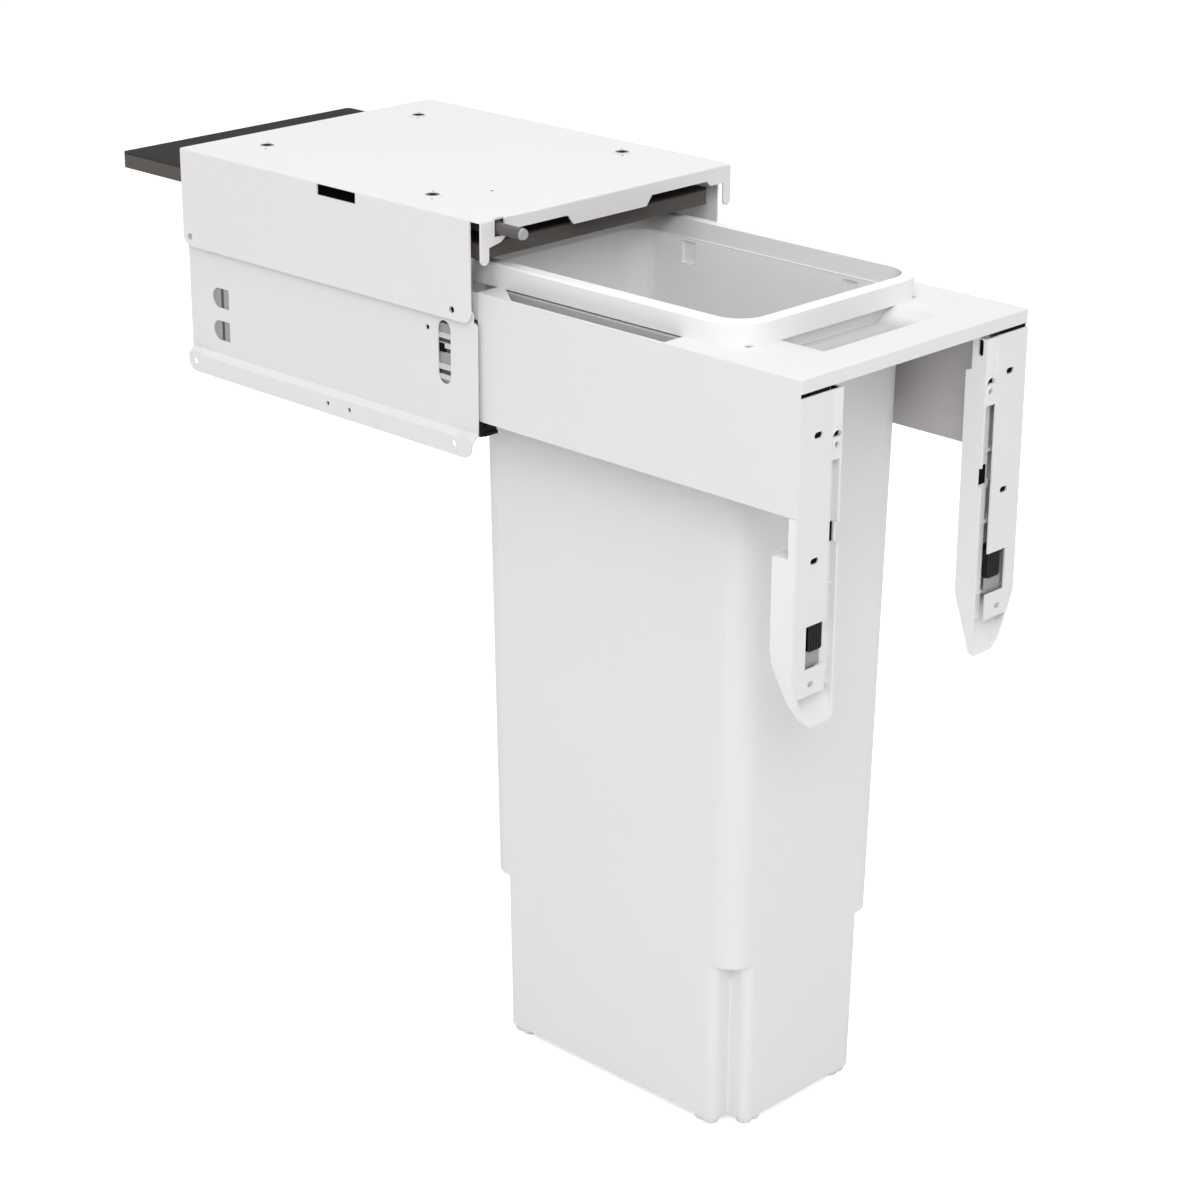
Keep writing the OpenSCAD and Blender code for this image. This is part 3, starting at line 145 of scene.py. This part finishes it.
class Look:
    """Node tree of one material. From stretched on, each method gives back the socket of its result."""

    def __init__(self, name):
        self.material = bpy.data.materials.new(name)
        self.material.use_nodes = True
        self.tree = self.material.node_tree
        self.inputs = self.tree.nodes["Principled BSDF"].inputs
        self.place = self.add("TexCoord").outputs["Object"]

    def add(self, kind, operation=None):
        node = self.tree.nodes.new("ShaderNode" + kind)
        if operation:
            node.operation = operation
        return node

    def link(self, source, target):
        self.tree.links.new(source, target)

    def stretched(self, vector, scale):
        mapping = self.add("Mapping")
        mapping.inputs["Scale"].default_value = scale
        self.link(vector, mapping.inputs["Vector"])
        return mapping.outputs["Vector"]

    def noise(self, scale, detail, stretch=(1, 1, 1)):
        texture = self.add("TexNoise")
        texture.inputs["Scale"].default_value = scale
        texture.inputs["Detail"].default_value = detail
        self.link(self.stretched(self.place, stretch), texture.inputs["Vector"])
        return texture.outputs["Fac"]

    def remap(self, value, at_low, at_high, low=0, high=1):
        """Turns a value from low to high into one from at_low to at_high."""
        remapped = self.add("MapRange")
        remapped.inputs["From Min"].default_value, remapped.inputs["From Max"].default_value = low, high
        remapped.inputs["To Min"].default_value, remapped.inputs["To Max"].default_value = at_low, at_high
        self.link(value, remapped.inputs["Value"])
        return remapped.outputs["Result"]

    def times(self, product, *factors):
        for factor in factors:
            step = self.add("Math", "MULTIPLY")
            self.link(product, step.inputs[0])
            self.link(factor, step.inputs[1])
            product = step.outputs[0]
        return product

    def agreement(self, first, second):
        """Dot product of two vectors, which is below 0 where they are opposed."""
        product = self.add("VectorMath", "DOT_PRODUCT")
        self.link(first, product.inputs[0])
        self.link(second, product.inputs[1])
        return product.outputs["Value"]

    def tinted(self, tone, tint, share):
        """Mixes a share of a fixed tint into a tone."""
        mix = self.add("Mix")
        mix.data_type = "RGBA"
        mix.inputs["B"].default_value = tint
        self.link(share, mix.inputs["Factor"])
        self.link(tone, mix.inputs["A"])
        return mix.outputs["Result"]

    def drift(self, colour, vary):
        """The base colour, slowly drifting a little darker and lighter."""
        mix = self.add("Mix")
        mix.data_type = "RGBA"
        mix.inputs["A"].default_value = scaled(colour, 1 - vary)
        mix.inputs["B"].default_value = scaled(colour, 1 + vary)
        self.link(self.noise(DRIFT_SCALE, DRIFT_DETAIL), mix.inputs["Factor"])
        return mix.outputs["Result"]

    def on_edges(self, share):
        """The share on sharp edges and nothing on flat faces."""
        bevel, geometry = self.add("Bevel"), self.add("NewGeometry")
        bevel.samples = EDGE_SAMPLES
        bevel.inputs["Radius"].default_value = EDGE_REACH
        flatness = self.agreement(bevel.outputs["Normal"], geometry.outputs["Normal"])
        return self.remap(flatness, share, 0, EDGE_SHARP, EDGE_FLAT)

    def along(self, axis, start, end, at_start=0, at_end=1):
        """A share that changes along X, Y or Z between two places in millimetres."""
        parts = self.add("SeparateXYZ")
        self.link(self.place, parts.inputs[0])
        return self.remap(parts.outputs[axis], at_start, at_end, start * MM, end * MM)

    def in_middle(self, half_width, soft, share):
        """The share within a half width of the middle plane, fading out past it."""
        parts, width = self.add("SeparateXYZ"), self.add("Math", "ABSOLUTE")
        self.link(self.place, parts.inputs[0])
        self.link(parts.outputs["X"], width.inputs[0])
        return self.remap(width.outputs[0], share, 0, half_width * MM, (half_width + soft) * MM)

    def near_axis(self, x, y, radius, soft):
        """1 within a radius of an upright axis, fading out past it."""
        away = self.add("VectorMath", "DISTANCE")
        away.inputs[1].default_value = (x * MM, y * MM, 0)
        self.link(self.stretched(self.place, LEVEL), away.inputs[0])
        return self.remap(away.outputs["Value"], 1, 0, radius * MM, (radius + soft) * MM)

    def facing_axis(self, y, share):
        """The share where a surface faces an upright axis in the middle plane, as inner walls do."""
        outwards, geometry = self.add("VectorMath", "SUBTRACT"), self.add("NewGeometry")
        outwards.inputs[1].default_value = (0, y * MM, 0)
        self.link(self.place, outwards.inputs[0])
        level = self.stretched(outwards.outputs["Vector"], LEVEL)
        facing = self.agreement(level, geometry.outputs["Normal"])
        return self.remap(facing, 0, share, FACING_FROM, FACING_FULL)


def material(name, colour, rough, metallic=0.0, vary=0.03, grain=900, bump=0.02, brushed=(1, 1, 1),
             edge=0.0, specular=0.5, subsurface=0.0, shade=None):
    """Finish with colour drift, uneven roughness, a fine bump and, if asked, paler edges and painted light
    and shade.
    """
    look = Look(name)
    look.inputs["Metallic"].default_value = metallic
    look.inputs["Specular IOR Level"].default_value = specular
    look.inputs["Subsurface Weight"].default_value = subsurface
    look.inputs["Subsurface Radius"].default_value = (SCATTER_REACH, SCATTER_REACH, SCATTER_REACH)
    tone = look.drift(linear(colour), vary)
    if edge:
        tone = look.tinted(tone, grey(EDGE_LEVEL), look.on_edges(edge))
    if shade:
        tone = shade(look, tone)
    look.link(tone, look.inputs["Base Color"])
    patches = look.noise(PATCH_SCALE, PATCH_DETAIL)
    unevenness = look.remap(patches, rough * PATCH_LOW, min(1, rough * PATCH_HIGH))
    look.link(unevenness, look.inputs["Roughness"])
    relief = look.add("Bump")
    relief.inputs["Strength"].default_value = bump
    relief.inputs["Distance"].default_value = GRAIN_DEPTH
    look.link(look.noise(grain, GRAIN_DETAIL, brushed), relief.inputs["Height"])
    look.link(relief.outputs["Normal"], look.inputs["Normal"])
    return look.material


# Painted light and shade on single pieces: places in millimetres, shares and levels of grey from 0 to 1

BOSSES = [(side * x, y) for side in (-1, 1) for x, y in ((100, 0), (80, 210))]
# Painted shade in the screw holes of the roof's bosses
HOLE_RADIUS, HOLE_SOFT, HOLE_SHADE_LEVEL = 4.6, 1.2, 0.015
# Painted shade in the tray's finger recess, darkest at its front wall
RECESS_FRONT, RECESS_BACK = TRAY_LOW.y + 32.5, TRAY_LOW.y + 70.5
RECESS_HALF, RECESS_SOFT, RECESS_SHARE, RECESS_SHADE_TINT = 42, 12, 0.95, (0.27, 0.26, 0.28, 1)
RECESS_DEEP, RECESS_SHALLOW, RECESS_EDGE, RECESS_STEP, RECESS_FADE = 1.2, 0.2, 1.5, 0.5, 0.3
# Painted light on the bucket's rim and inner walls, and painted shade in a band inside its mouth
RIM_LOW, RIM_HIGH, RIM_SHARE, RIM_LIGHT_LEVEL = -64, -56, 0.6, 1.0
WALL_SHARE, WALL_LIGHT_LEVEL, MOUTH_LOW, MOUTH_HIGH, MOUTH_SHADE_LEVEL = 0.9, 0.88, -52, -50, 0.6
# Painted shade on the lid's top
LID_SHADE_DROP, LID_SHADE_SOFT, LID_SHADE_SHARE, LID_SHADE_LEVEL = 0.6, 1.5, 0.8, 0.012


def roof_hole_shade(look, tone):
    """Painted shade, dark in the screw holes of the roof's bosses."""
    for x, y in BOSSES:
        tone = look.tinted(tone, grey(HOLE_SHADE_LEVEL), look.near_axis(x, y, HOLE_RADIUS, HOLE_SOFT))
    return tone


def tray_recess_shade(look, tone):
    """Painted shade, grey in the finger recess, deepest at its front wall."""
    across = look.in_middle(RECESS_HALF, RECESS_SOFT, RECESS_SHARE)
    sunk = look.along("Z", TRAY_HIGH.z - RECESS_DEEP, TRAY_HIGH.z - RECESS_SHALLOW, 1, 0)
    behind_front = look.along("Y", RECESS_FRONT - RECESS_EDGE, RECESS_FRONT - RECESS_STEP)
    fading = look.along("Y", RECESS_FRONT, RECESS_BACK, 1, RECESS_FADE)
    return look.tinted(tone, RECESS_SHADE_TINT, look.times(across, sunk, fading, behind_front))


def bucket_light_and_shade(look, tone):
    """Painted light on the rim and the inner walls, and painted shade in a grey band inside the mouth."""
    tone = look.tinted(tone, grey(RIM_LIGHT_LEVEL), look.along("Z", RIM_LOW, RIM_HIGH, 0, RIM_SHARE))
    inside = look.facing_axis(BUCKET_Y, WALL_SHARE)
    tone = look.tinted(tone, grey(WALL_LIGHT_LEVEL), inside)
    mouth = look.times(inside, look.along("Z", MOUTH_LOW, MOUTH_HIGH))
    return look.tinted(tone, grey(MOUTH_SHADE_LEVEL), mouth)


def lid_top_shade(look, tone):
    """Painted shade, dark on the lid's top, above its paler skirt."""
    plate = LID_TOP - LID_SHADE_DROP
    above = look.along("Z", plate - LID_SHADE_SOFT, plate, 0, LID_SHADE_SHARE)
    return look.tinted(tone, grey(LID_SHADE_LEVEL), above)


COAT = {"rough": 0.42, "vary": 0.012, "grain": 1400, "bump": 0.05, "edge": 0.25}
PAINT = material("powder_coat", "#e4e4e4", **COAT)
TRAY = material("tray_coat_recess_shade", "#e4e4e4", **COAT, shade=tray_recess_shade)
ROOF = material("roof_coat_hole_shade", "#e7e5e4", **COAT, shade=roof_hole_shade)
COVER = material("cover_grey", "#bdbab9", 0.45, vary=0.012, grain=1400, bump=0.05, edge=0.1)
BUCKET = material("bucket_white_light_and_shade", "#e4e4e4", 0.38, vary=0.01, grain=2200, bump=0.04, subsurface=0.05,
                  shade=bucket_light_and_shade)
ARM = material("arm_white", "#e9e9e9", 0.36, vary=0.012, grain=1900, bump=0.03)
ZINC = material("zinc", "#b9bbbd", 0.34, metallic=1.0, vary=0.05, grain=700, bump=0.05, brushed=(1, 0.06, 1))
BALL = material("ball_steel", "#d2d3d6", 0.12, metallic=1.0, vary=0.02, bump=0.01)
SPRING = material("spring_wire", "#8f9193", 0.3, metallic=1.0, vary=0.06, bump=0.04)
CAGE = material("cage_dark", "#3a3a3c", 0.5, vary=0.08)
LID = material("lid_anthracite_top_shade", "#5f5a58", 0.8, vary=0.05, grain=2600, bump=0.12, specular=0.08,
               shade=lid_top_shade)
BLACK = material("black_moulding", "#121212", 0.5, vary=0.1, grain=2200, bump=0.08, specular=0.2)
PLUNGER = material("plunger_grey", "#555152", 0.4, vary=0.06)
TIP = material("tip_rubber", "#a9a6a6", 0.7, vary=0.05, grain=2600, bump=0.1)
# Painted shadow black, standing for deep shade behind holes, slots and gaps; the dark roof mark uses it too
SHADOW_AND_MARK_BLACK = material("painted_shadow_and_mark_black", "#0d0c0c", 0.9, vary=0.1, specular=0.1)
# Painted shade in grey and dark, and painted light in pale, for surfaces seen through windows, slots and
# holes
SHADE_GREY = material("painted_shade_grey", "#a09e9d", 0.6, vary=0.05)
SHADE_DARK = material("painted_shade_dark", "#4b4948", 0.7, vary=0.06)
LIGHT_PALE = material("painted_light_pale", "#cfcdcc", 0.5, vary=0.04)


# Dressing of the CAD pieces

# Finish and edge rounding in millimetres of each kind of piece, left and right alike
KINDS = {
    "top_frame": (ROOF, 0.35), "side_panel": (PAINT, 0.3), "rear_yoke": (PAINT, 0.3),
    "tray": (TRAY, 0.35), "rail_cover": (COVER, 0.3), "bucket": (BUCKET, 0.6),
    "door_bracket": (PAINT, 0.35), "bracket_arm": (ARM, 0.4), "bracket_screws": (ZINC, 0.2),
    "adjuster": (BLACK, 0.5), "runner_cap": (BLACK, 0.4), "runner_bracket": (ZINC, 0.3),
    "fixed_rail": (ZINC, 0), "middle_rail": (ZINC, 0), "tray_rail": (ZINC, 0),
    "outer_cage": (CAGE, 0), "inner_cage": (CAGE, 0), "outer_balls": (BALL, 0), "inner_balls": (BALL, 0),
    "lid": (LID, 0.8), "lid_guide_pins": (ZINC, 0.3), "lid_springs": (SPRING, 0),
    "damper_sleeve": (CAGE, 0.3), "damper_clip": (ZINC, 0.2), "damper_plunger": (PLUNGER, 0.3),
    "damper_tip": (TIP, 0.3),
}
# Reach of the merge, width of a near miss and margins of the lid's fold, in millimetres
WELD_REACH, NEAR = 0.005, 0.05
LID_SIDE_MARGIN, LID_END_MARGIN = 8.5, 12
FOLD_STEPS, BEVEL_STEPS, BEVEL_ANGLE, NORMAL_WEIGHT = 4, 3, math.radians(34), 90


def near(value, target):
    return abs(value - target) < NEAR


def on_roof_fold(p):
    return near(p.z, ROOF_TOP) and (near(abs(p.x), ROOF_HIGH.x) or near(p.y, ROOF_LOW.y))


def on_lid_fold(p):
    at_side = abs(p.x) > LID_HIGH.x - LID_SIDE_MARGIN
    at_end = not LID_LOW.y + LID_END_MARGIN < p.y < LID_HIGH.y - LID_END_MARGIN
    return near(p.z, LID_TOP) and (at_side or at_end)


def on_tray_fold(p):
    at_side, at_front = near(abs(p.x), TRAY_HIGH.x), near(p.y, TRAY_LOW.y)
    on_top, at_strip_end = near(p.z, TRAY_HIGH.z), near(p.z, TRAY_HIGH.z - STRIP_HEIGHT)
    return on_top and (at_side or at_front) or at_strip_end and at_side and at_front


# Bend radius of the sheet folds in millimetres, and the test for corners that lie on them
FOLDS = {"top_frame": (1.6, on_roof_fold), "lid": (2.6, on_lid_fold), "tray": (2.0, on_tray_fold)}


def kind_of(node):
    for label, _ in SIDES:
        if node.startswith(label + "_"):
            return node[len(label) + 1:]
    return node


def smooth(obj):
    for polygon in obj.data.polygons:
        polygon.use_smooth = True


def dress(obj, kind):
    """Gives a piece its finish, merges its split corners and rounds its folds and sharp edges."""
    finish, edge_width = KINDS[kind]
    obj.data.materials.clear()
    obj.data.materials.append(finish)
    weld = obj.modifiers.new("weld", "WELD")
    weld.merge_threshold = WELD_REACH * MM
    if kind in FOLDS:
        fold_width, on_fold = FOLDS[kind]
        group = obj.vertex_groups.new(name="folds")
        corners = [v.index for v in obj.data.vertices if on_fold(obj.matrix_world @ v.co / MM)]
        group.add(corners, 1, "REPLACE")
        fold = obj.modifiers.new("fold", "BEVEL")
        fold.width, fold.segments = fold_width * MM, FOLD_STEPS
        fold.limit_method, fold.vertex_group = "VGROUP", group.name
    if edge_width:
        bevel = obj.modifiers.new("bevel", "BEVEL")
        bevel.width, bevel.segments = edge_width * MM, BEVEL_STEPS
        bevel.limit_method, bevel.angle_limit = "ANGLE", BEVEL_ANGLE
    weighted = obj.modifiers.new("weighted", "WEIGHTED_NORMAL")
    weighted.weight = NORMAL_WEIGHT
    smooth(obj)


for name, obj in nodes.items():
    dress(obj, kind_of(name))


# Helpers that make small pieces, from places in millimetres

DISC_SIDES, PIP_SEGMENTS, PIP_RINGS, DOT_RADIUS, MARK_RADIUS, MARK_HEIGHT = 32, 20, 10, 1.1, 1.3, 0.2


def finished(name, body, finish, bm):
    """Turns a mesh in the making into a piece that rides on a body."""
    mesh = bpy.data.meshes.new(name)
    bm.to_mesh(mesh)
    bm.free()
    mesh.materials.append(finish)
    obj = bpy.data.objects.new(name, mesh)
    scene.collection.objects.link(obj)
    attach(obj, body)
    return obj


def block(name, body, finish, x, y, z):
    """Box over a range along each axis."""
    bm = bmesh.new()
    bmesh.ops.create_cube(bm, size=1)
    for vert in bm.verts:
        vert.co = [(span[0] if c < 0 else span[1]) * MM for span, c in zip((x, y, z), vert.co)]
    bmesh.ops.recalc_face_normals(bm, faces=bm.faces)
    finished(name, body, finish, bm)


def block_pair(name, body, finish, x, y, z):
    """The same box on the right side and, mirrored, on the left."""
    block("right_" + name, body, finish, x, y, z)
    block("left_" + name, body, finish, (-x[1], -x[0]), y, z)


def disc_pair(name, body, finish, x, y, z, radius):
    """Disc across X over a range, on the left side and, mirrored, on the right."""
    for label, side in SIDES:
        bm = bmesh.new()
        bmesh.ops.create_cone(bm, cap_ends=True, segments=DISC_SIDES, radius1=radius * MM,
                              radius2=radius * MM, depth=(x[1] - x[0]) * MM)
        middle = Vector((side * (x[0] + x[1]) / 2, y, z)) * MM
        bm.transform(Matrix.Translation(middle) @ Matrix.Rotation(math.pi / 2, 4, "Y"))
        finished(label + "_" + name, body, finish, bm)


def pip(name, x, y, finish, radius=1.6, height=0.35):
    """Low dome pressed up in the roof sheet."""
    bm = bmesh.new()
    bmesh.ops.create_uvsphere(bm, u_segments=PIP_SEGMENTS, v_segments=PIP_RINGS, radius=1)
    for vert in bm.verts:
        vert.co = ((x + vert.co.x * radius) * MM, (y + vert.co.y * radius) * MM,
                   (ROOF_TOP + vert.co.z * height) * MM)
    smooth(finished(name, "frame", finish, bm))


def skin(bm, loops, closed):
    """Joins loops of vertices into a tube, which meets itself or gets an end face at both ends."""
    following = loops[1:] + loops[:1] if closed else loops[1:]
    for this, after in zip(loops, following):
        for corner in range(len(this)):
            beside = (corner + 1) % len(this)
            bm.faces.new((this[corner], this[beside], after[beside], after[corner]))
    if not closed:
        bm.faces.new(loops[0])
        bm.faces.new(loops[-1][::-1])
    bmesh.ops.recalc_face_normals(bm, faces=bm.faces)


# Coil springs round the lid's guide pins. The real springs shorten as the lid is pulled down; these are
# drawn at one length.

SPRING_OUTER, SPRING_WIRE = 5.1 * MM, 0.5 * MM
SPRING_TURNS, COIL_STEPS, COIL_SIDES = 3, 24, 10


def coil(bm, x, y, low, high):
    """Right-handed helix of round wire about an upright axis between two heights, all in metres."""
    loops, count = [], SPRING_TURNS * COIL_STEPS
    for step in range(count + 1):
        angle = math.tau * step / COIL_STEPS
        rise = low + SPRING_WIRE + (high - low - 2 * SPRING_WIRE) * step / count
        loop = []
        for corner in range(COIL_SIDES):
            turn = math.tau * corner / COIL_SIDES
            reach = SPRING_OUTER - SPRING_WIRE + SPRING_WIRE * math.cos(turn)
            loop.append(bm.verts.new((x + reach * math.cos(angle), y + reach * math.sin(angle),
                                      rise + SPRING_WIRE * math.sin(turn))))
        loops.append(loop)
    skin(bm, loops, False)


def make_lid_springs():
    low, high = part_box("lid_springs")
    bm = bmesh.new()
    for x in (low[0] + SPRING_OUTER, high[0] - SPRING_OUTER):
        for y in (low[1] + SPRING_OUTER, high[1] - SPRING_OUTER):
            coil(bm, x, y, low[2], high[2])
    springs = finished("lid_spring_coils", "frame", SPRING, bm)
    smooth(springs)
    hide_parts("lid_springs")
    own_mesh(springs)


make_lid_springs()


# Raised rims of the two holes in the locking plates

HOOK_X, RIM_STEPS = 84.0, 28
RIM_FRONT, RIM_BACK = PLATE_BACK - 1.0, PLATE_BACK + 0.4


def ring(name, centre_z, inner, outer, sweep):
    """Rim with a rectangular section, drawn through a sweep in degrees, on both sides."""
    closed = sweep == 360
    section = ((inner, RIM_FRONT), (outer, RIM_FRONT), (outer, RIM_BACK), (inner, RIM_BACK))
    for label, side in SIDES:
        bm = bmesh.new()
        loops = []
        for step in range(RIM_STEPS if closed else RIM_STEPS + 1):
            angle = math.radians(sweep * step / RIM_STEPS)
            loops.append([bm.verts.new((side * (HOOK_X + r * math.cos(angle)) * MM, y * MM,
                                        (centre_z + r * math.sin(angle)) * MM)) for r, y in section])
        skin(bm, loops, closed)
        finished(label + "_" + name, "tray", ARM, bm)


ring("hook_ring", -108.6, 2.6, 4.6, 360)
ring("moon_ring", -103.1, 4.9, 6.0, 180)


# Painted shade, dark and grey, behind the holes, slots and windows, by their range in millimetres along each
# axis

DOOR_HOLE_X, DOOR_HOLES_Z, DOOR_HOLE_HALF = 104.4, (-97.1, -185.6), (6.5, 4.5)
WINDOWS_Z, WINDOW_HALF, WINDOW_Y, BAND_Y = (-115.1, -141.4), 9, (203, 229), (214, 217)
LOCATING_Y, LOCATING_Z, LOCATING_RADIUS = (61.5, 86.0), -171.1, 2.1
FLANGE_HOLE_Y, FLANGE_HOLE_Z, FLANGE_HOLE_RADIUS = -53, -70.1, 4.3


def around(centre, half):
    return (centre - half, centre + half)


def behind_plate(near_side, far_side):
    return (PLATE_BACK + near_side, PLATE_BACK + far_side)


block_pair("gap_shade", "tray", SHADOW_AND_MARK_BLACK, (92.2, 121.6), behind_plate(0.3, 1.3), (-69.7, -65.8))
for number, z in enumerate(DOOR_HOLES_Z):
    block_pair(f"slot_shade_{number}", "tray", SHADOW_AND_MARK_BLACK, around(DOOR_HOLE_X, DOOR_HOLE_HALF[0]),
               behind_plate(0.1, 1.0), around(z, DOOR_HOLE_HALF[1]))
block_pair("hook_shade", "tray", SHADOW_AND_MARK_BLACK, (80.2, 89.8), behind_plate(2.05, 3), (-114, -96))
block_pair("tab_shade", "tray", SHADOW_AND_MARK_BLACK, (80.05, 81), behind_plate(2.1, 9), (-84, -70))
block_pair("catch_shade", "tray", SHADOW_AND_MARK_BLACK, (80.1, 89.8), behind_plate(4.6, 4.95), (-178.6, -164.6))
block_pair("window_floor_shade", "tray", SHADE_GREY, (92.2, 111), behind_plate(2.2, 2.8), (-263.6, -251.8))
disc_pair("flange_hole_shade", "frame", SHADOW_AND_MARK_BLACK, (129.3, 130.4), FLANGE_HOLE_Y, FLANGE_HOLE_Z,
          FLANGE_HOLE_RADIUS)
for number, y in enumerate(LOCATING_Y):
    disc_pair(f"locating_shade_{number}", "frame", SHADOW_AND_MARK_BLACK, (130.0, 130.6), y, LOCATING_Z, LOCATING_RADIUS)
for number, z in enumerate(WINDOWS_Z):
    block_pair(f"window_shade_{number}", "frame", SHADE_GREY, (124.6, 125.9), WINDOW_Y, around(z, WINDOW_HALF))
    block_pair(f"window_shade_band_{number}", "frame", SHADE_DARK, (124.8, 126.0), BAND_Y, around(z, WINDOW_HALF))


# Bands of the rail seen through the inspection slot, in painted shade dark and grey and painted light pale:
# top, bottom, depth behind the panel, finish

RUNGS = (
    (-81.0, -84.7, 1.6, SHADE_DARK), (-84.7, -91.7, 0.9, SHADE_GREY), (-91.7, -95.7, 0.2, LIGHT_PALE),
    (-95.7, -99.0, 1.6, SHADE_DARK), (-99.0, -103.0, 0.2, LIGHT_PALE), (-103.0, -106.3, 1.6, SHADE_DARK),
    (-106.3, -115.0, 0.9, SHADE_GREY), (-115.0, -119.4, 0.2, LIGHT_PALE), (-119.4, -123.1, 1.6, SHADE_DARK),
    (-123.1, -126.8, 0.2, LIGHT_PALE), (-126.8, -130.2, 0.9, SHADE_GREY),
)
SLOT_FRONT, SLOT_BACK, LATCH_FRONT, RUNG_BACK = -47.2, -32.2, -38.6, 2.4
for number, (top, bottom, depth, finish) in enumerate(RUNGS):
    block_pair(f"rung_{number}", "frame", finish, (PANEL_INNER - RUNG_BACK, PANEL_INNER - depth),
               (SLOT_FRONT, SLOT_BACK), (bottom, top))
block_pair("latch_end", "frame", SHADOW_AND_MARK_BLACK, (PANEL_INNER - 2.5, PANEL_INNER - 0.1), (LATCH_FRONT, SLOT_BACK),
           (-106.2, -99.4))


# Pips on the roof, a dark mark, painted shade in the bosses' holes and two grey dots of painted shade
# diagonally beside each boss

PIPS = ((-87.8, 76.2), (-41.4, 76), (52, 76.3), (-96.8, -72.3), (6.8, -62.7), (5.2, 243.7))
MARK_X, MARK_Y, HOLE_HALF, HOLE_FLOOR, DOT_SHIFT = -60.2, -20.9, 4, (-2.9, -2.3), 8.2
for number, (x, y) in enumerate(PIPS):
    pip(f"roof_pip_{number}", x, y, ROOF)
pip("roof_mark", MARK_X, MARK_Y, SHADOW_AND_MARK_BLACK, MARK_RADIUS, MARK_HEIGHT)
for number, (x, y) in enumerate(BOSSES):
    block(f"boss_shade_{number}", "frame", SHADOW_AND_MARK_BLACK, around(x, HOLE_HALF), around(y, HOLE_HALF), HOLE_FLOOR)
    pip(f"boss_dot_{number}_front", x - DOT_SHIFT, y - DOT_SHIFT, SHADE_GREY, DOT_RADIUS)
    pip(f"boss_dot_{number}_rear", x + DOT_SHIFT, y + DOT_SHIFT, SHADE_GREY, DOT_RADIUS)


# Floor, world and lamps, in metres

FLOOR_SIZE, FLOOR_GAP, FLOOR_LEVEL, FLOOR_ROUGH, FLOOR_GLOW = 40, 0.0005, 0.95, 0.9, 0.5
WHITE = (1, 1, 1, 1)
ROOM_STRENGTH, SEEN_STRENGTH = 0.5, 1.0
# Name, place, target, size, power in watts
LAMPS = (
    ("top_lamp", (-0.2, -0.3, 2.6), (0, -0.1, 0), 2.6, 35),
    ("key_lamp", (-2.2, -2.3, 1.9), (0, -0.1, -0.3), 1.8, 53),
    ("rear_lamp", (-0.8, 3.0, 0.5), (0, 0, -0.3), 1.6, 15),
    ("right_lamp", (3.0, -0.7, 0.5), (0, 0, -0.3), 1.6, 11),
)


def make_floor():
    """White floor that glows for the camera only, so that the object's shadow stays on it."""
    bpy.ops.mesh.primitive_plane_add(size=FLOOR_SIZE, location=(0, 0, cad_box[0][2] - FLOOR_GAP))
    floor = bpy.context.object
    floor.name = "floor"
    white = bpy.data.materials.new("floor_white")
    white.use_nodes = True
    tree = white.node_tree
    inputs = tree.nodes["Principled BSDF"].inputs
    inputs["Base Color"].default_value = grey(FLOOR_LEVEL)
    inputs["Roughness"].default_value = FLOOR_ROUGH
    inputs["Emission Color"].default_value = WHITE
    path, glow = tree.nodes.new("ShaderNodeLightPath"), tree.nodes.new("ShaderNodeMath")
    glow.operation = "MULTIPLY"
    glow.inputs[1].default_value = FLOOR_GLOW
    tree.links.new(path.outputs["Is Camera Ray"], glow.inputs[0])
    tree.links.new(glow.outputs[0], inputs["Emission Strength"])
    floor.data.materials.append(white)


def make_world():
    """Soft room light, and pure white for what the camera sees directly, mirrored or through glass."""
    world = bpy.data.worlds.new("studio")
    scene.world = world
    world.use_nodes = True
    tree = world.node_tree
    make, link = tree.nodes.new, tree.links.new
    room, seen = tree.nodes["Background"], make("ShaderNodeBackground")
    for background, strength in ((room, ROOM_STRENGTH), (seen, SEEN_STRENGTH)):
        background.inputs["Color"].default_value = WHITE
        background.inputs["Strength"].default_value = strength
    path, mix = make("ShaderNodeLightPath"), make("ShaderNodeMixShader")
    any_seen = path.outputs["Is Camera Ray"]
    for kind in ("Is Glossy Ray", "Is Transmission Ray"):
        either = make("ShaderNodeMath")
        either.operation = "MAXIMUM"
        link(any_seen, either.inputs[0])
        link(path.outputs[kind], either.inputs[1])
        any_seen = either.outputs[0]
    link(any_seen, mix.inputs["Fac"])
    link(room.outputs[0], mix.inputs[1])
    link(seen.outputs[0], mix.inputs[2])
    link(mix.outputs[0], tree.nodes["World Output"].inputs["Surface"])


def area_lamp(name, place, target, size, power):
    lamp = bpy.data.objects.new(name, bpy.data.lights.new(name, "AREA"))
    lamp.data.size = size
    lamp.data.energy = power
    lamp.location = place
    lamp.rotation_euler = (Vector(target) - Vector(place)).to_track_quat("-Z", "Y").to_euler()
    scene.collection.objects.link(lamp)


make_floor()
make_world()
for lamp in LAMPS:
    area_lamp(*lamp)

scene.view_settings.view_transform = "Standard"
